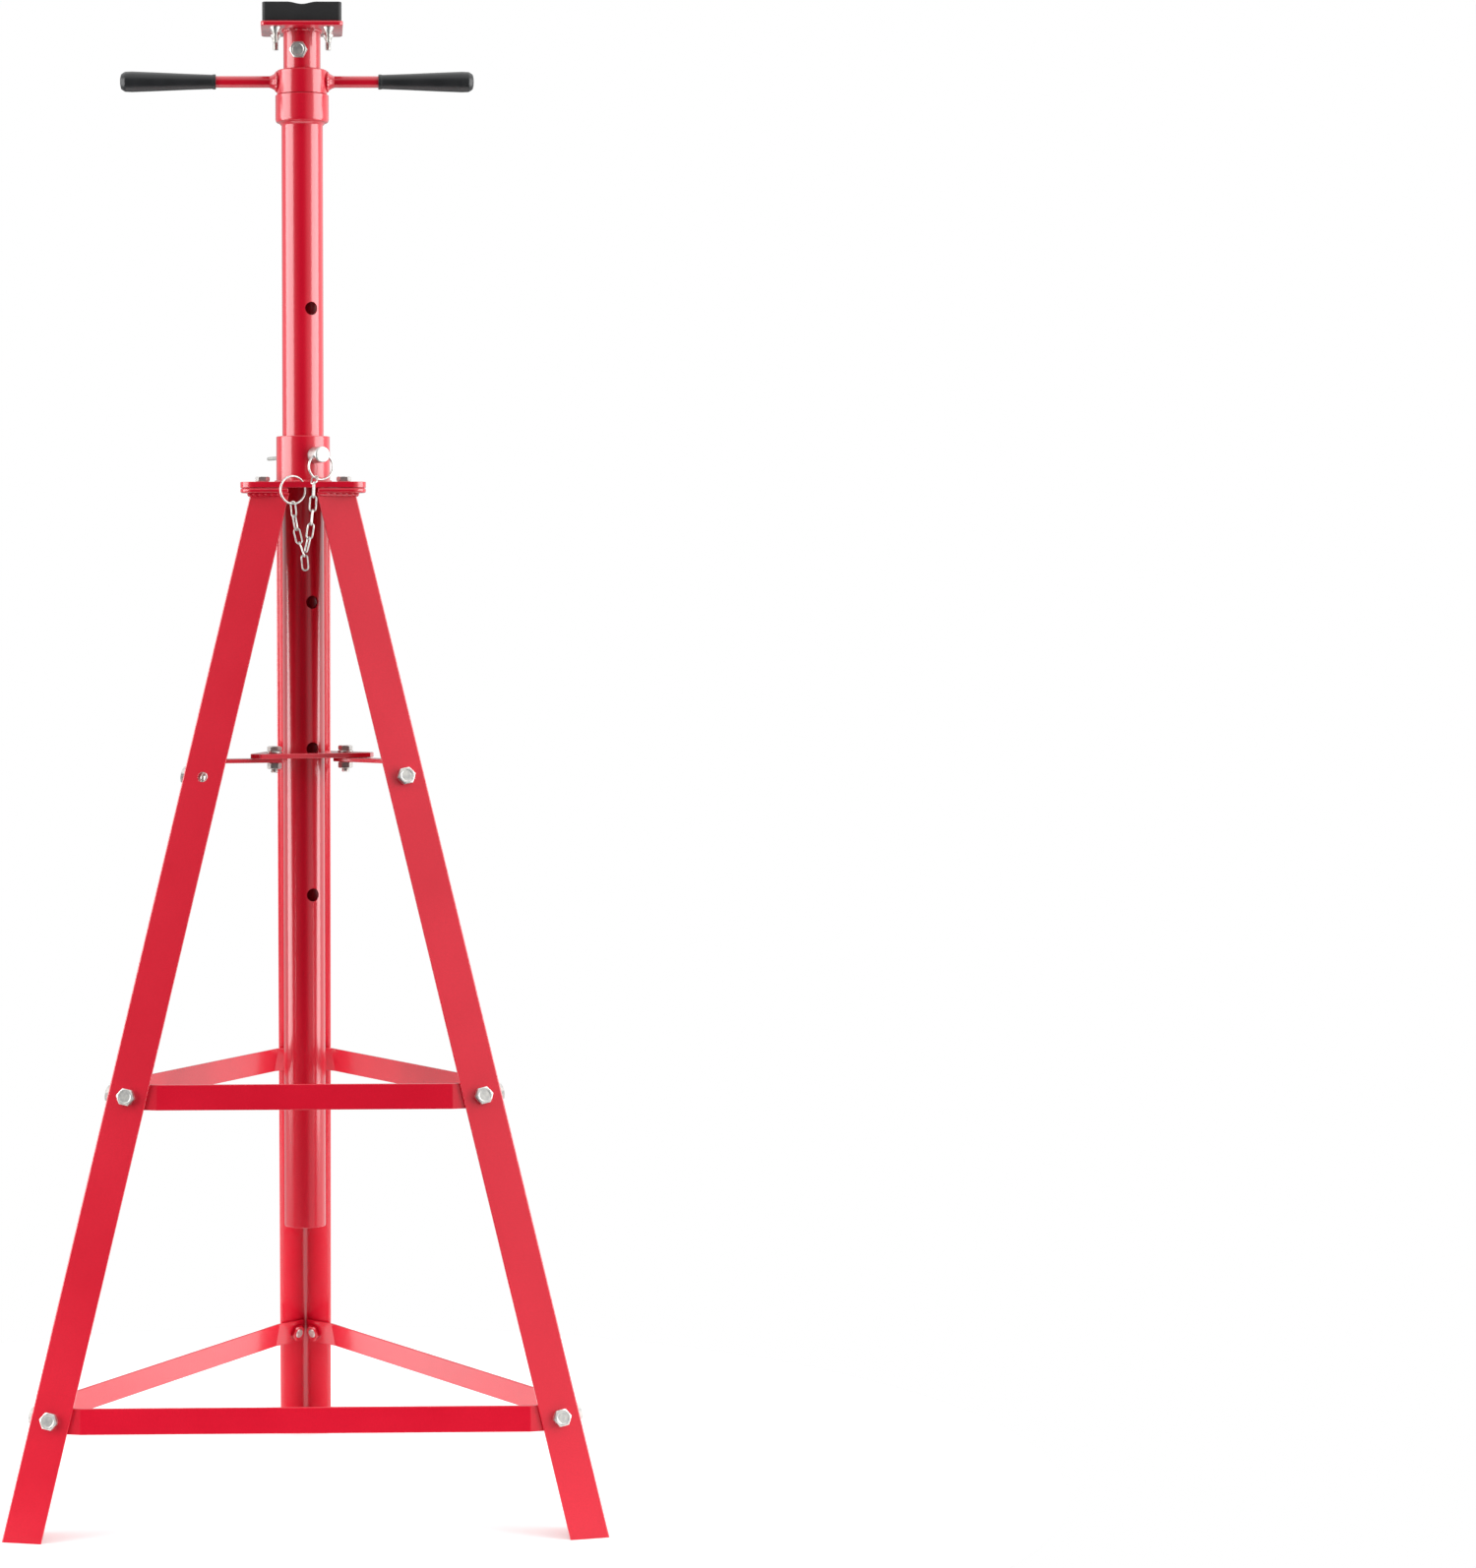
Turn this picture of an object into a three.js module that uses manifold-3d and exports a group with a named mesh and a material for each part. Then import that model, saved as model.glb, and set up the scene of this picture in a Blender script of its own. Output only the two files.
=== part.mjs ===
// Tall three-legged axle stand: a pinned telescopic mast in an angle-iron tripod,
// with a hand-turned lifting screw and a rubber-faced saddle on top.
// Millimetres, +Z up. Everything is laid out about the mast's axis, and the whole
// stand is shifted at the end so that the origin is the middle of its footprint.
import * as THREE from 'three';
import { mergeVertices } from 'three/addons/utils/BufferGeometryUtils.js';
import Module from 'manifold-3d';

const wasm = await Module();
wasm.setup();

// ---- Driving dimensions -----------------------------------------------------

const GAP = 0.3;                    // air left between two pieces that touch
const FINE = 24;                    // sides of a large round piece
const COARSE = 10;                  // sides of a hole or a small round piece

const LEG_FOOT_RADIUS = 347;        // mast axis to a leg's outer corner, at the floor
const LEG_RUN_IN = 0.2746;          // how far that corner comes in per mm of height
const LEG_FLANGE = 40;              // angle iron 40 x 40 x 3
const LEG_WALL = 3;
const LEG_ROOT = 4;                 // fillet in the angle's inner corner
const LEG_AZIMUTHS = { left: 210, right: 330, rear: 90 };

const PLATE_TOP = 1048.5;
const PLATE_WALL = 6;
const PLATE_LOBE_AT = 57.4;         // mast axis to the centre of a rounded corner
const PLATE_LOBE_RADIUS = 14.3;
const PLATE_BOLT_AT = 48;
const END_PLATE_WALL = 5;           // plate welded on top of each leg
const END_PLATE_INNER = 33;
const END_PLATE_HALF_WIDTH = 29;
const COLLAR_TOP = 1096;
const COLLAR_RADIUS = 27.5;

const MAST_RADIUS = 21.2;
const MAST_WALL = 3.2;
const MAST_BOTTOM = 284;
const MAST_CLEARANCE = 0.5;
const PIN_HEIGHT = 1076;
const PIN_PITCH = 150;
const PIN_HOLE_RADIUS = 6.75;
const PIN_AZIMUTH = -64.4;          // the pin comes out at the front, right of middle

const CUP_BOTTOM = 1416;
const CUP_TOP = 1445;
const CUP_RADIUS = 27.4;
const CUP_SHOULDER = 4;
const BEARING_RADIUS = 23.5;
const BEARING_HEIGHT = 11;

const NUT_BOTTOM = 1445.5;
const NUT_TOP = 1470.5;
const NUT_RADIUS = 25.7;
const ARM_HEIGHT = 1459;
const ARM_RADIUS = 6;
const ARM_SOCKET_DEPTH = 3.5;
const GRIP_LENGTH = 98;
const GRIP_STARTS = { left: 88, right: 78 };

const SCREW_RADIUS = 14.7;
const SCREW_BOTTOM = 1290;
const SLEEVE_BOTTOM = 1471;
const SLEEVE_RADIUS = 19;
const TRAY_BOTTOM = 1511;
const TRAY_SIDE = 83.5;
const TRAY_FLOOR = 2.5;
const TRAY_HEIGHT = 4.5;
const TRAY_RIM = 1.2;
const TRAY_CORNER = 5;
const PAD_SIDE = 80.5;
const PAD_CORNER = 3.8;
const PAD_TOP = 1535;
const PAD_LOW = 10.4;               // how far the rear of the pad lies below its top
const STUD_AT = 27;
const STUD_RADIUS = 2.9;
const STUD_BOTTOM = 1495.4;
const SADDLE_BOLT_HEIGHT = 1489;
const SADDLE_BOLT_AZIMUTH = -99;

const RING_HEIGHTS = { upper: 432, lower: 117 };
const BRACE_WIDTH = 25;
const BRACE_WALL = 3;
const BRACE_END = 10.5;             // along the flange, outer corner to the brace's end
const BRACE_BEND = 50;              // along the flange, outer corner to the bend
const BOLT_ALONG = 20;              // along the flange, outer corner to a bolt

const GUIDE_BOTTOM = 767;
const GUIDE_WALL = 5;
const GUIDE_TURN = 16.7;            // the guide's corners sit this far round from the legs
const GUIDE_REACH = 72;
const GUIDE_TIP_HALF = 7;
const GUIDE_BOLT_AT = 43.8;
const STRAP_WALL = 4;
const STRAP_WIDTH = 22;
const STRAP_TAB_BOTTOM = 736;
const STRAP_BOLT_HEIGHT = 750;

const M8 = { flats: 13, head: 5.3, shank: 3.9, hole: 4.5, nut: 6.5 };
const M10 = { flats: 16, head: 6.4, shank: 4.9, hole: 5.25, nut: 4.5 };

const PIN_RADIUS = 6.25;
const PIN_HEAD_RADIUS = 8.25;
const PIN_HEAD_TO = 46;             // mast axis to the flat end of the head
const PIN_TAIL = 84;                // mast axis to the tip of the nose's spigot
const PIN_CHAMFER = 1.5;
const PULL_RING = { out: 41.5, z: 1063.9, radius: 13.4 };
const ANCHOR_RING = { x: -10.5, y: -43, z: 1040, radius: 14, turn: 27 };
const ANCHOR_HOLE = { x: 1.2, y: -37.1, radius: 3.5 };
const RING_WIRE = 1.1;
const CHAIN_WIRE = 0.85;            // radius of the links' wire
const CHAIN_WIDTH = 8;
const CHAIN_PRESS = 0.12;           // how far neighbouring links press into each other

const PAINT = { color: 0xc4122a, roughness: 0.28, metalness: 0.1 };
const ZINC = { color: 0xb9bcbd, roughness: 0.35, metalness: 0.9 };
const BLACK_OXIDE = { color: 0x1c1c1e, roughness: 0.45, metalness: 0.7 };
const RUBBER = { color: 0x141415, roughness: 0.8, metalness: 0 };
const GRIP_VINYL = { color: 0x1d1e20, roughness: 0.4, metalness: 0 };

// ---- Small tools ------------------------------------------------------------

const stand = new THREE.Group();

function piece(name, geometry, finish, parent = stand) {
  const mesh = new THREE.Mesh(geometry, new THREE.MeshStandardMaterial(finish));
  mesh.name = name;
  parent.add(mesh);
  return mesh;
}

function solidOf(geometry) {
  const bare = geometry.clone();
  bare.deleteAttribute('normal');
  bare.deleteAttribute('uv');
  const merged = mergeVertices(bare, 1e-4);
  return new wasm.Manifold(new wasm.Mesh({
    numProp: 3,
    vertProperties: new Float32Array(merged.attributes.position.array),
    triVerts: new Uint32Array(merged.index.array),
  }));
}

function geometryOf(solid) {
  const mesh = solid.getMesh();
  const geometry = new THREE.BufferGeometry();
  geometry.setAttribute('position', new THREE.BufferAttribute(mesh.vertProperties, 3));
  geometry.setIndex(new THREE.BufferAttribute(mesh.triVerts, 1));
  geometry.computeVertexNormals();
  return geometry;
}

const join = (...shapes) => geometryOf(shapes.map(solidOf).reduce((a, b) => a.add(b)));
const cut = (shape, ...tools) => {
  return geometryOf(tools.map(solidOf).reduce((a, b) => a.subtract(b), solidOf(shape)));
};

// An upright cylinder or hexagon between two heights. A hexagon is given by its flats.
function upright(radius, bottom, top, sides = FINE) {
  const shape = new THREE.CylinderGeometry(radius, radius, top - bottom, sides);
  return shape.rotateX(Math.PI / 2).translate(0, 0, (bottom + top) / 2);
}

const hexagon = (flats, bottom, top) => upright(flats / Math.sqrt(3), bottom, top, 6);

// A flat outline raised from one height to another.
function slab(points, bottom, top) {
  const outline = points instanceof THREE.Shape ? points : new THREE.Shape(points);
  const raised = { depth: top - bottom, bevelEnabled: false, curveSegments: 4 };
  return new THREE.ExtrudeGeometry(outline, raised).translate(0, 0, bottom);
}

// A turned piece: profile points are [radius, height] round the upright axis.
function turned(profile, sides = FINE) {
  const points = profile.map(([radius, height]) => new THREE.Vector2(radius, height));
  return new THREE.LatheGeometry(points, sides).rotateX(Math.PI / 2);
}

const ringProfile = (inner, outer, bottom, top) => {
  return [[inner, bottom], [outer, bottom], [outer, top], [inner, top], [inner, bottom]];
};

const radians = THREE.MathUtils.degToRad;
const polar = (radius, azimuth) => new THREE.Vector2(
  radius * Math.cos(radians(azimuth)),
  radius * Math.sin(radians(azimuth)),
);

// A bar bent in plan: the polyline is one face, and the other lies to its left.
function bentOutline(face, thickness) {
  const back = face.map((point, i) => {
    const before = face[Math.max(i - 1, 0)];
    const after = face[Math.min(i + 1, face.length - 1)];
    const into = point.clone().sub(before);
    const out = after.clone().sub(point);
    if (i === 0) into.copy(out);
    if (i === face.length - 1) out.copy(into);
    const normalIn = new THREE.Vector2(-into.y, into.x).normalize();
    const normalOut = new THREE.Vector2(-out.y, out.x).normalize();
    const mitre = normalIn.clone().add(normalOut).normalize();
    return point.clone().addScaledVector(mitre, thickness / mitre.dot(normalIn));
  });
  return [...face, ...back.reverse()];
}

// ---- A leg's own frame --------------------------------------------------------
// The leg stands out along +X and its corner leans in. Side +1 is the flange that
// is anticlockwise of the corner seen from above, and side -1 is the other one.

const LEAN = Math.atan(LEG_RUN_IN);
const legUp = new THREE.Vector3(-Math.sin(LEAN), 0, Math.cos(LEAN));
const legOut = new THREE.Vector3(Math.cos(LEAN), 0, Math.sin(LEAN));
const sideways = new THREE.Vector3(0, 1, 0);
const cornerAt = (z) => new THREE.Vector3(LEG_FOOT_RADIUS - LEG_RUN_IN * z, 0, z);
const flangeAlong = (side) => {
  return legOut.clone().negate().addScaledVector(sideways, side).normalize();
};
const flangeOut = (side) => legOut.clone().addScaledVector(sideways, side).normalize();

// The point a distance along a flange and a depth inside its outer face, at a height.
function onFlange(side, along, depth, height) {
  const point = cornerAt(height);
  point.addScaledVector(flangeAlong(side), along);
  point.addScaledVector(flangeOut(side), -depth);
  return point.addScaledVector(legUp, (height - point.z) / legUp.z);
}

// Turns a shape made upright, head up, so that it stands out of a flange at a bolt.
function throughFlange(shape, side, height) {
  const across = flangeAlong(side);
  const out = flangeOut(side);
  const basis = new THREE.Matrix4().makeBasis(out.clone().cross(across).negate(), across, out);
  if (basis.determinant() < 0) basis.makeBasis(out.clone().cross(across), across, out);
  basis.setPosition(onFlange(side, BOLT_ALONG, 0, height));
  return shape.applyMatrix4(basis);
}

const turnedTo = (shape, azimuth) => shape.clone().rotateZ(radians(azimuth));

// A hex bolt with its head above zero and its shank below.
function hexBolt(size, length, washer = 0) {
  const head = hexagon(size.flats, GAP + washer - 0.01, GAP + washer + size.head);
  const shank = upright(size.shank, -length, GAP + washer + 0.5, COARSE);
  if (!washer) return join(head, shank);
  return join(head, shank, upright(size.flats * 0.62, GAP, GAP + washer, COARSE));
}

// ---- Legs: angle iron with an end plate and a nut welded under it --------------

const plateBottom = PLATE_TOP - PLATE_WALL;
const endPlateTop = plateBottom - GAP;
const endPlateBottom = endPlateTop - END_PLATE_WALL;

function legGeometry() {
  const half = LEG_FLANGE / Math.SQRT2;
  const inner = LEG_WALL * Math.SQRT2;
  const toe = half - LEG_WALL / Math.SQRT2;
  const root = LEG_ROOT / Math.SQRT2;
  const section = [
    [0, 0], [-half, half], [-half - inner / 2, toe],
    [-inner - root, root], [-inner - root * 0.6, 0], [-inner - root, -root],
    [-half - inner / 2, -toe], [-half, -half],
  ];
  const flat = section.map(([out, across]) => new THREE.Vector2(out / Math.cos(LEAN), across));
  const angle = slab(flat, 0, endPlateBottom + 0.5);
  const leaning = new THREE.Matrix4().set(
    1, 0, -LEG_RUN_IN, LEG_FOOT_RADIUS, 0, 1, 0, 0, 0, 0, 1, 0, 0, 0, 0, 1,
  );
  angle.applyMatrix4(leaning);

  const endPlate = new THREE.Shape();
  endPlate.moveTo(END_PLATE_INNER, -END_PLATE_HALF_WIDTH);
  const lobe = radians(60);
  const edge = polar(PLATE_LOBE_RADIUS, -60).add(new THREE.Vector2(PLATE_LOBE_AT, 0));
  const inward = (END_PLATE_HALF_WIDTH + edge.y) * Math.tan(lobe);
  endPlate.lineTo(edge.x - inward, -END_PLATE_HALF_WIDTH);
  endPlate.absarc(PLATE_LOBE_AT, 0, PLATE_LOBE_RADIUS, -lobe, lobe);
  endPlate.lineTo(edge.x - inward, END_PLATE_HALF_WIDTH);
  endPlate.lineTo(END_PLATE_INNER, END_PLATE_HALF_WIDTH);

  const nut = hexagon(M8.flats, endPlateBottom - M8.nut, endPlateBottom + 0.5);
  const welded = join(
    angle,
    slab(endPlate, endPlateBottom, endPlateTop),
    nut.translate(PLATE_BOLT_AT, 0, 0),
  );
  const holes = [upright(M8.hole, endPlateBottom - 20, endPlateTop + 5, COARSE)];
  holes[0].translate(PLATE_BOLT_AT, 0, 0);
  for (const side of [-1, 1]) {
    for (const height of [...Object.values(RING_HEIGHTS), STRAP_BOLT_HEIGHT]) {
      holes.push(throughFlange(upright(M10.hole, -LEG_WALL - 4, 4, COARSE), side, height));
    }
  }
  return cut(welded, ...holes);
}

const legShape = legGeometry();
const legGroups = {};
for (const [where, azimuth] of Object.entries(LEG_AZIMUTHS)) {
  const group = new THREE.Group();
  group.rotation.z = radians(azimuth);
  stand.add(group);
  legGroups[where] = group;
  piece(`leg_${where}`, legShape, PAINT, group);
}

// ---- Top plate with the collar welded through it ---------------------------------

const pinDirection = polar(1, PIN_AZIMUTH);

function topPlateGeometry() {
  const outline = new THREE.Shape();
  for (const azimuth of Object.values(LEG_AZIMUTHS).sort((a, b) => a - b)) {
    const centre = polar(PLATE_LOBE_AT, azimuth);
    const from = radians(azimuth - 60);
    const to = radians(azimuth + 60);
    outline.absarc(centre.x, centre.y, PLATE_LOBE_RADIUS, from, to);
  }
  const bore = MAST_RADIUS + MAST_CLEARANCE;
  const welded = join(
    slab(outline, plateBottom, PLATE_TOP),
    upright(COLLAR_RADIUS, plateBottom + 0.5, COLLAR_TOP),
  );
  const holes = [upright(bore, plateBottom - 5, COLLAR_TOP + 5)];
  for (const azimuth of Object.values(LEG_AZIMUTHS)) {
    const at = polar(PLATE_BOLT_AT, azimuth);
    const hole = upright(M8.hole, plateBottom - 5, PLATE_TOP + 5, COARSE);
    holes.push(hole.translate(at.x, at.y, 0));
  }
  const ringHole = upright(ANCHOR_HOLE.radius, plateBottom - 5, PLATE_TOP + 5, COARSE);
  holes.push(ringHole.translate(ANCHOR_HOLE.x, ANCHOR_HOLE.y, 0));
  holes.push(pinWise(upright(PIN_HOLE_RADIUS, -40, 40, COARSE), PIN_HEIGHT));
  return cut(welded, ...holes);
}

// Lays an upright shape along the pin's axis, with its top end at the pin's head.
function pinWise(shape, height) {
  shape.rotateY(Math.PI / 2).rotateZ(radians(PIN_AZIMUTH));
  return shape.translate(0, 0, height);
}

piece('top_plate', topPlateGeometry(), PAINT);

const plateBolt = hexBolt(M8, PLATE_WALL + END_PLATE_WALL + M8.nut + 2);
for (const [where, group] of Object.entries(legGroups)) {
  const bolt = piece(`plate_bolt_${where}`, plateBolt, ZINC, group);
  bolt.position.set(PLATE_BOLT_AT, 0, PLATE_TOP);
}

// ---- Braces: two rings of flat bars bolted inside the legs' flanges --------------

// The front brace: from the right leg's clockwise flange to the left leg's other one.
function braceGeometry(height) {
  const onRight = (along, depth) => {
    const point = onFlange(-1, along, depth, height);
    point.applyAxisAngle(new THREE.Vector3(0, 0, 1), radians(LEG_AZIMUTHS.right));
    return point;
  };
  const seat = LEG_WALL + GAP;
  const end = onRight(BRACE_END, seat);
  const bend = onRight(BRACE_BEND, seat);
  const face = [
    new THREE.Vector2(-end.x, end.y), new THREE.Vector2(-bend.x, bend.y),
    new THREE.Vector2(bend.x, bend.y), new THREE.Vector2(end.x, end.y),
  ];
  // The bar leans with the flanges, so its upper edge is further in than its lower.
  const flangeLine = onRight(BRACE_BEND, 0).sub(onRight(BRACE_END, 0));
  const legLine = legUp.clone().divideScalar(legUp.z);
  legLine.applyAxisAngle(new THREE.Vector3(0, 0, 1), radians(LEG_AZIMUTHS.right));
  const lean = legLine.y - flangeLine.y * legLine.x / flangeLine.x;
  const bar = slab(bentOutline(face, BRACE_WALL), -BRACE_WIDTH / 2, BRACE_WIDTH / 2);
  bar.applyMatrix4(new THREE.Matrix4().set(
    1, 0, 0, 0, 0, 1, lean, 0, 0, 0, 1, height, 0, 0, 0, 1,
  ));

  const inside = -seat - BRACE_WALL;
  const ends = [[-1, LEG_AZIMUTHS.right], [1, LEG_AZIMUTHS.left]];
  const nuts = ends.map(([side, azimuth]) => {
    const nut = hexagon(M10.flats, inside - M10.nut, inside + 0.5);
    return turnedTo(throughFlange(nut, side, height), azimuth);
  });
  const holes = ends.map(([side, azimuth]) => {
    const hole = upright(M10.hole, inside - M10.nut - 5, 0, COARSE);
    return turnedTo(throughFlange(hole, side, height), azimuth);
  });
  return cut(join(bar, ...nuts), ...holes);
}

const braceTurns = { front: 0, right: 120, left: 240 };
const braceBolt = hexBolt(M10, LEG_WALL + GAP + BRACE_WALL + M10.nut + 0.5);
for (const [ring, height] of Object.entries(RING_HEIGHTS)) {
  const brace = braceGeometry(height);
  for (const [where, turn] of Object.entries(braceTurns)) {
    piece(`${ring}_brace_${where}`, brace, PAINT).rotation.z = radians(turn);
  }
  for (const side of [-1, 1]) {
    const bolt = throughFlange(braceBolt.clone(), side, height);
    for (const [where, group] of Object.entries(legGroups)) {
      piece(`${ring}_bolt_${where}_${side < 0 ? 'a' : 'b'}`, bolt, ZINC, group);
    }
  }
}

// ---- Middle guide: a plate round the mast, held by three straps -------------------

const guideTop = GUIDE_BOTTOM + GUIDE_WALL;
const strapTop = GUIDE_BOTTOM - GAP;
const strapBottom = strapTop - STRAP_WALL;

function guidePlateGeometry() {
  const outline = [];
  const holes = [upright(MAST_RADIUS + MAST_CLEARANCE, GUIDE_BOTTOM - 5, guideTop + 5)];
  const tipTurn = THREE.MathUtils.radToDeg(Math.atan(GUIDE_TIP_HALF / GUIDE_REACH));
  const tipRadius = Math.hypot(GUIDE_REACH, GUIDE_TIP_HALF);
  for (const azimuth of Object.values(LEG_AZIMUTHS).sort((a, b) => a - b)) {
    outline.push(polar(tipRadius, azimuth + GUIDE_TURN - tipTurn));
    outline.push(polar(tipRadius, azimuth + GUIDE_TURN + tipTurn));
    const at = polar(GUIDE_BOLT_AT, azimuth + GUIDE_TURN);
    const hole = upright(M8.hole, GUIDE_BOTTOM - 5, guideTop + 5, COARSE);
    holes.push(hole.translate(at.x, at.y, 0));
  }
  return cut(slab(outline, GUIDE_BOTTOM, guideTop), ...holes);
}

piece('guide_plate', guidePlateGeometry(), PAINT);

// A strap in its leg's frame: flat under the guide, then bent down the flange.
function strapGeometry() {
  const seat = LEG_WALL + GAP;
  const bolt = polar(GUIDE_BOLT_AT, GUIDE_TURN);
  const target = onFlange(-1, BOLT_ALONG, seat, strapTop);
  const along = new THREE.Vector2(target.x, target.y).sub(bolt).normalize();
  const across = new THREE.Vector2(-along.y, along.x);
  const near = onFlange(-1, 0, seat, strapTop);
  const wall = new THREE.Vector2(target.x - near.x, target.y - near.y).normalize();
  const spread = STRAP_WIDTH / 2 / Math.abs(wall.dot(across));
  const flat = [
    [-12, -7], [-7, -STRAP_WIDTH / 2], [0, -STRAP_WIDTH / 2],
  ].map(([u, v]) => bolt.clone().addScaledVector(along, u).addScaledVector(across, v));
  const farSide = [
    [0, STRAP_WIDTH / 2], [-7, STRAP_WIDTH / 2], [-12, 7],
  ].map(([u, v]) => bolt.clone().addScaledVector(along, u).addScaledVector(across, v));
  const corner = (s) => new THREE.Vector2(target.x, target.y).addScaledVector(wall, s * spread);
  const outward = wall.dot(across) > 0 ? 1 : -1;
  const outline = [...flat, corner(-outward), corner(outward), ...farSide];
  const strap = slab(outline, strapBottom, strapTop);

  const back = new THREE.Vector2(-flangeOut(-1).x, -flangeOut(-1).y).normalize();
  back.multiplyScalar(STRAP_WALL);
  const foot = [corner(-outward), corner(outward)];
  const tabOutline = [...foot, foot[1].clone().add(back), foot[0].clone().add(back)];
  const tab = slab(tabOutline, STRAP_TAB_BOTTOM - strapTop, 0);
  tab.applyMatrix4(new THREE.Matrix4().set(
    1, 0, -LEG_RUN_IN, 0, 0, 1, 0, 0, 0, 0, 1, strapTop, 0, 0, 0, 1,
  ));
  const down = upright(M8.hole, strapBottom - 5, strapTop + 5, COARSE);
  const through = throughFlange(upright(M10.hole, -20, 0, COARSE), -1, STRAP_BOLT_HEIGHT);
  return cut(join(strap, tab), down.translate(bolt.x, bolt.y, 0), through);
}

const strapShape = strapGeometry();
const guideBolt = hexBolt(M8, GUIDE_WALL + STRAP_WALL + M8.nut + 4, 1.5);
const guideNut = cut(
  hexagon(M8.flats, strapBottom - GAP - M8.nut, strapBottom - GAP),
  upright(M8.hole, strapBottom - 20, strapBottom + 5, COARSE),
);
const strapBolt = throughFlange(hexBolt(M10, 18), -1, STRAP_BOLT_HEIGHT);
for (const [where, group] of Object.entries(legGroups)) {
  const at = polar(GUIDE_BOLT_AT, GUIDE_TURN);
  piece(`guide_strap_${where}`, strapShape, PAINT, group);
  piece(`guide_bolt_${where}`, guideBolt, ZINC, group).position.set(at.x, at.y, guideTop);
  piece(`guide_nut_${where}`, guideNut, ZINC, group).position.set(at.x, at.y, 0);
  piece(`strap_bolt_${where}`, strapBolt, ZINC, group);
}

// ---- Mast: a drilled tube with the bearing cup welded on top ----------------------

function mastGeometry() {
  const cupFloor = CUP_TOP - BEARING_HEIGHT - GAP;
  const cup = turned([
    [SCREW_RADIUS + 1, CUP_BOTTOM], [MAST_RADIUS, CUP_BOTTOM],
    [MAST_RADIUS + 3.5, CUP_BOTTOM + 1], [CUP_RADIUS - 1, CUP_BOTTOM + 2.4],
    [CUP_RADIUS, CUP_BOTTOM + CUP_SHOULDER], [CUP_RADIUS, CUP_TOP],
    [BEARING_RADIUS + GAP, CUP_TOP], [BEARING_RADIUS + GAP, cupFloor],
    [SCREW_RADIUS + 1, cupFloor], [SCREW_RADIUS + 1, CUP_BOTTOM],
  ]);
  const bore = MAST_RADIUS - MAST_WALL;
  const tube = turned(ringProfile(bore, MAST_RADIUS, MAST_BOTTOM, CUP_BOTTOM + 2));
  const holes = [-3, -2, -1, 0, 1].map((step) => {
    const height = PIN_HEIGHT + step * PIN_PITCH;
    return pinWise(upright(PIN_HOLE_RADIUS, -40, 40, COARSE), height);
  });
  return cut(join(tube, cup), ...holes);
}

piece('mast_tube', mastGeometry(), PAINT);
piece('thrust_bearing', turned(ringProfile(
  SCREW_RADIUS + 1, BEARING_RADIUS, CUP_TOP - BEARING_HEIGHT, CUP_TOP,
)), ZINC);

// ---- Turning nut with its two arms and vinyl grips --------------------------------

const turner = new THREE.Group();
turner.position.z = ARM_HEIGHT;
stand.add(turner);

const armWise = (shape, direction) => shape.rotateY(direction * Math.PI / 2);
const sockets = [-1, 1].map((direction) => {
  const inner = NUT_RADIUS - ARM_SOCKET_DEPTH;
  return armWise(upright(ARM_RADIUS + GAP, inner, NUT_RADIUS + 5, 16), direction);
});
const nutRing = turned(ringProfile(
  SCREW_RADIUS + 0.5, NUT_RADIUS, NUT_BOTTOM - ARM_HEIGHT, NUT_TOP - ARM_HEIGHT,
));
piece('turning_nut', cut(nutRing, ...sockets), PAINT, turner);

// The grip grows from a thin mouth to a thick rounded end, over a blind bore.
function gripGeometry(start) {
  const end = start + GRIP_LENGTH;
  return turned([
    [ARM_RADIUS + GAP, start], [7.6, start], [7.6, start + 3], [7.3, start + 4],
    [8.2, start + 30], [9.6, start + 62], [10.4, end - 12], [10.3, end - 7],
    [9.2, end - 3], [6.5, end - 0.8], [0, end],
    [0, end - 12], [ARM_RADIUS + GAP, end - 12], [ARM_RADIUS + GAP, start],
  ], 24);
}

for (const [where, start] of Object.entries(GRIP_STARTS)) {
  const direction = where === 'left' ? -1 : 1;
  const root = NUT_RADIUS - ARM_SOCKET_DEPTH + GAP;
  const rod = turned([
    [0, root], [ARM_RADIUS, root], [ARM_RADIUS, NUT_RADIUS + GAP], [9.5, NUT_RADIUS + GAP],
    [9.5, NUT_RADIUS + 1.5], [ARM_RADIUS, NUT_RADIUS + 6],
    [ARM_RADIUS, start + GRIP_LENGTH - 13], [0, start + GRIP_LENGTH - 13],
  ], 16);
  piece(`arm_${where}`, armWise(rod, direction), PAINT, turner);
  piece(`grip_${where}`, armWise(gripGeometry(start), direction), GRIP_VINYL, turner);
}

// ---- Lifting screw and saddle ------------------------------------------------------

// Lays an upright shape along the saddle bolt, with its top end at the bolt's head.
function saddleBoltWise(shape) {
  shape.rotateY(Math.PI / 2).rotateZ(radians(SADDLE_BOLT_AZIMUTH));
  return shape.translate(0, 0, SADDLE_BOLT_HEIGHT);
}

const crossHole = saddleBoltWise(upright(M10.hole, -30, 30, COARSE));
const screw = turned([
  [0, SCREW_BOTTOM], [SCREW_RADIUS - 3, SCREW_BOTTOM], [SCREW_RADIUS, SCREW_BOTTOM + 3],
  [SCREW_RADIUS, TRAY_BOTTOM - 2], [0, TRAY_BOTTOM - 2],
]);
piece('lift_screw', cut(screw, crossHole), BLACK_OXIDE);

function roundedSquare(side, corner) {
  const shape = new THREE.Shape();
  const reach = side / 2 - corner;
  shape.absarc(reach, -reach, corner, -Math.PI / 2, 0);
  shape.absarc(reach, reach, corner, 0, Math.PI / 2);
  shape.absarc(-reach, reach, corner, Math.PI / 2, Math.PI);
  shape.absarc(-reach, -reach, corner, Math.PI, 1.5 * Math.PI);
  return shape;
}

const studPlaces = {
  front_left: [-STUD_AT, -STUD_AT], front_right: [STUD_AT, -STUD_AT],
  rear_left: [-STUD_AT, STUD_AT], rear_right: [STUD_AT, STUD_AT],
};

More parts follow.
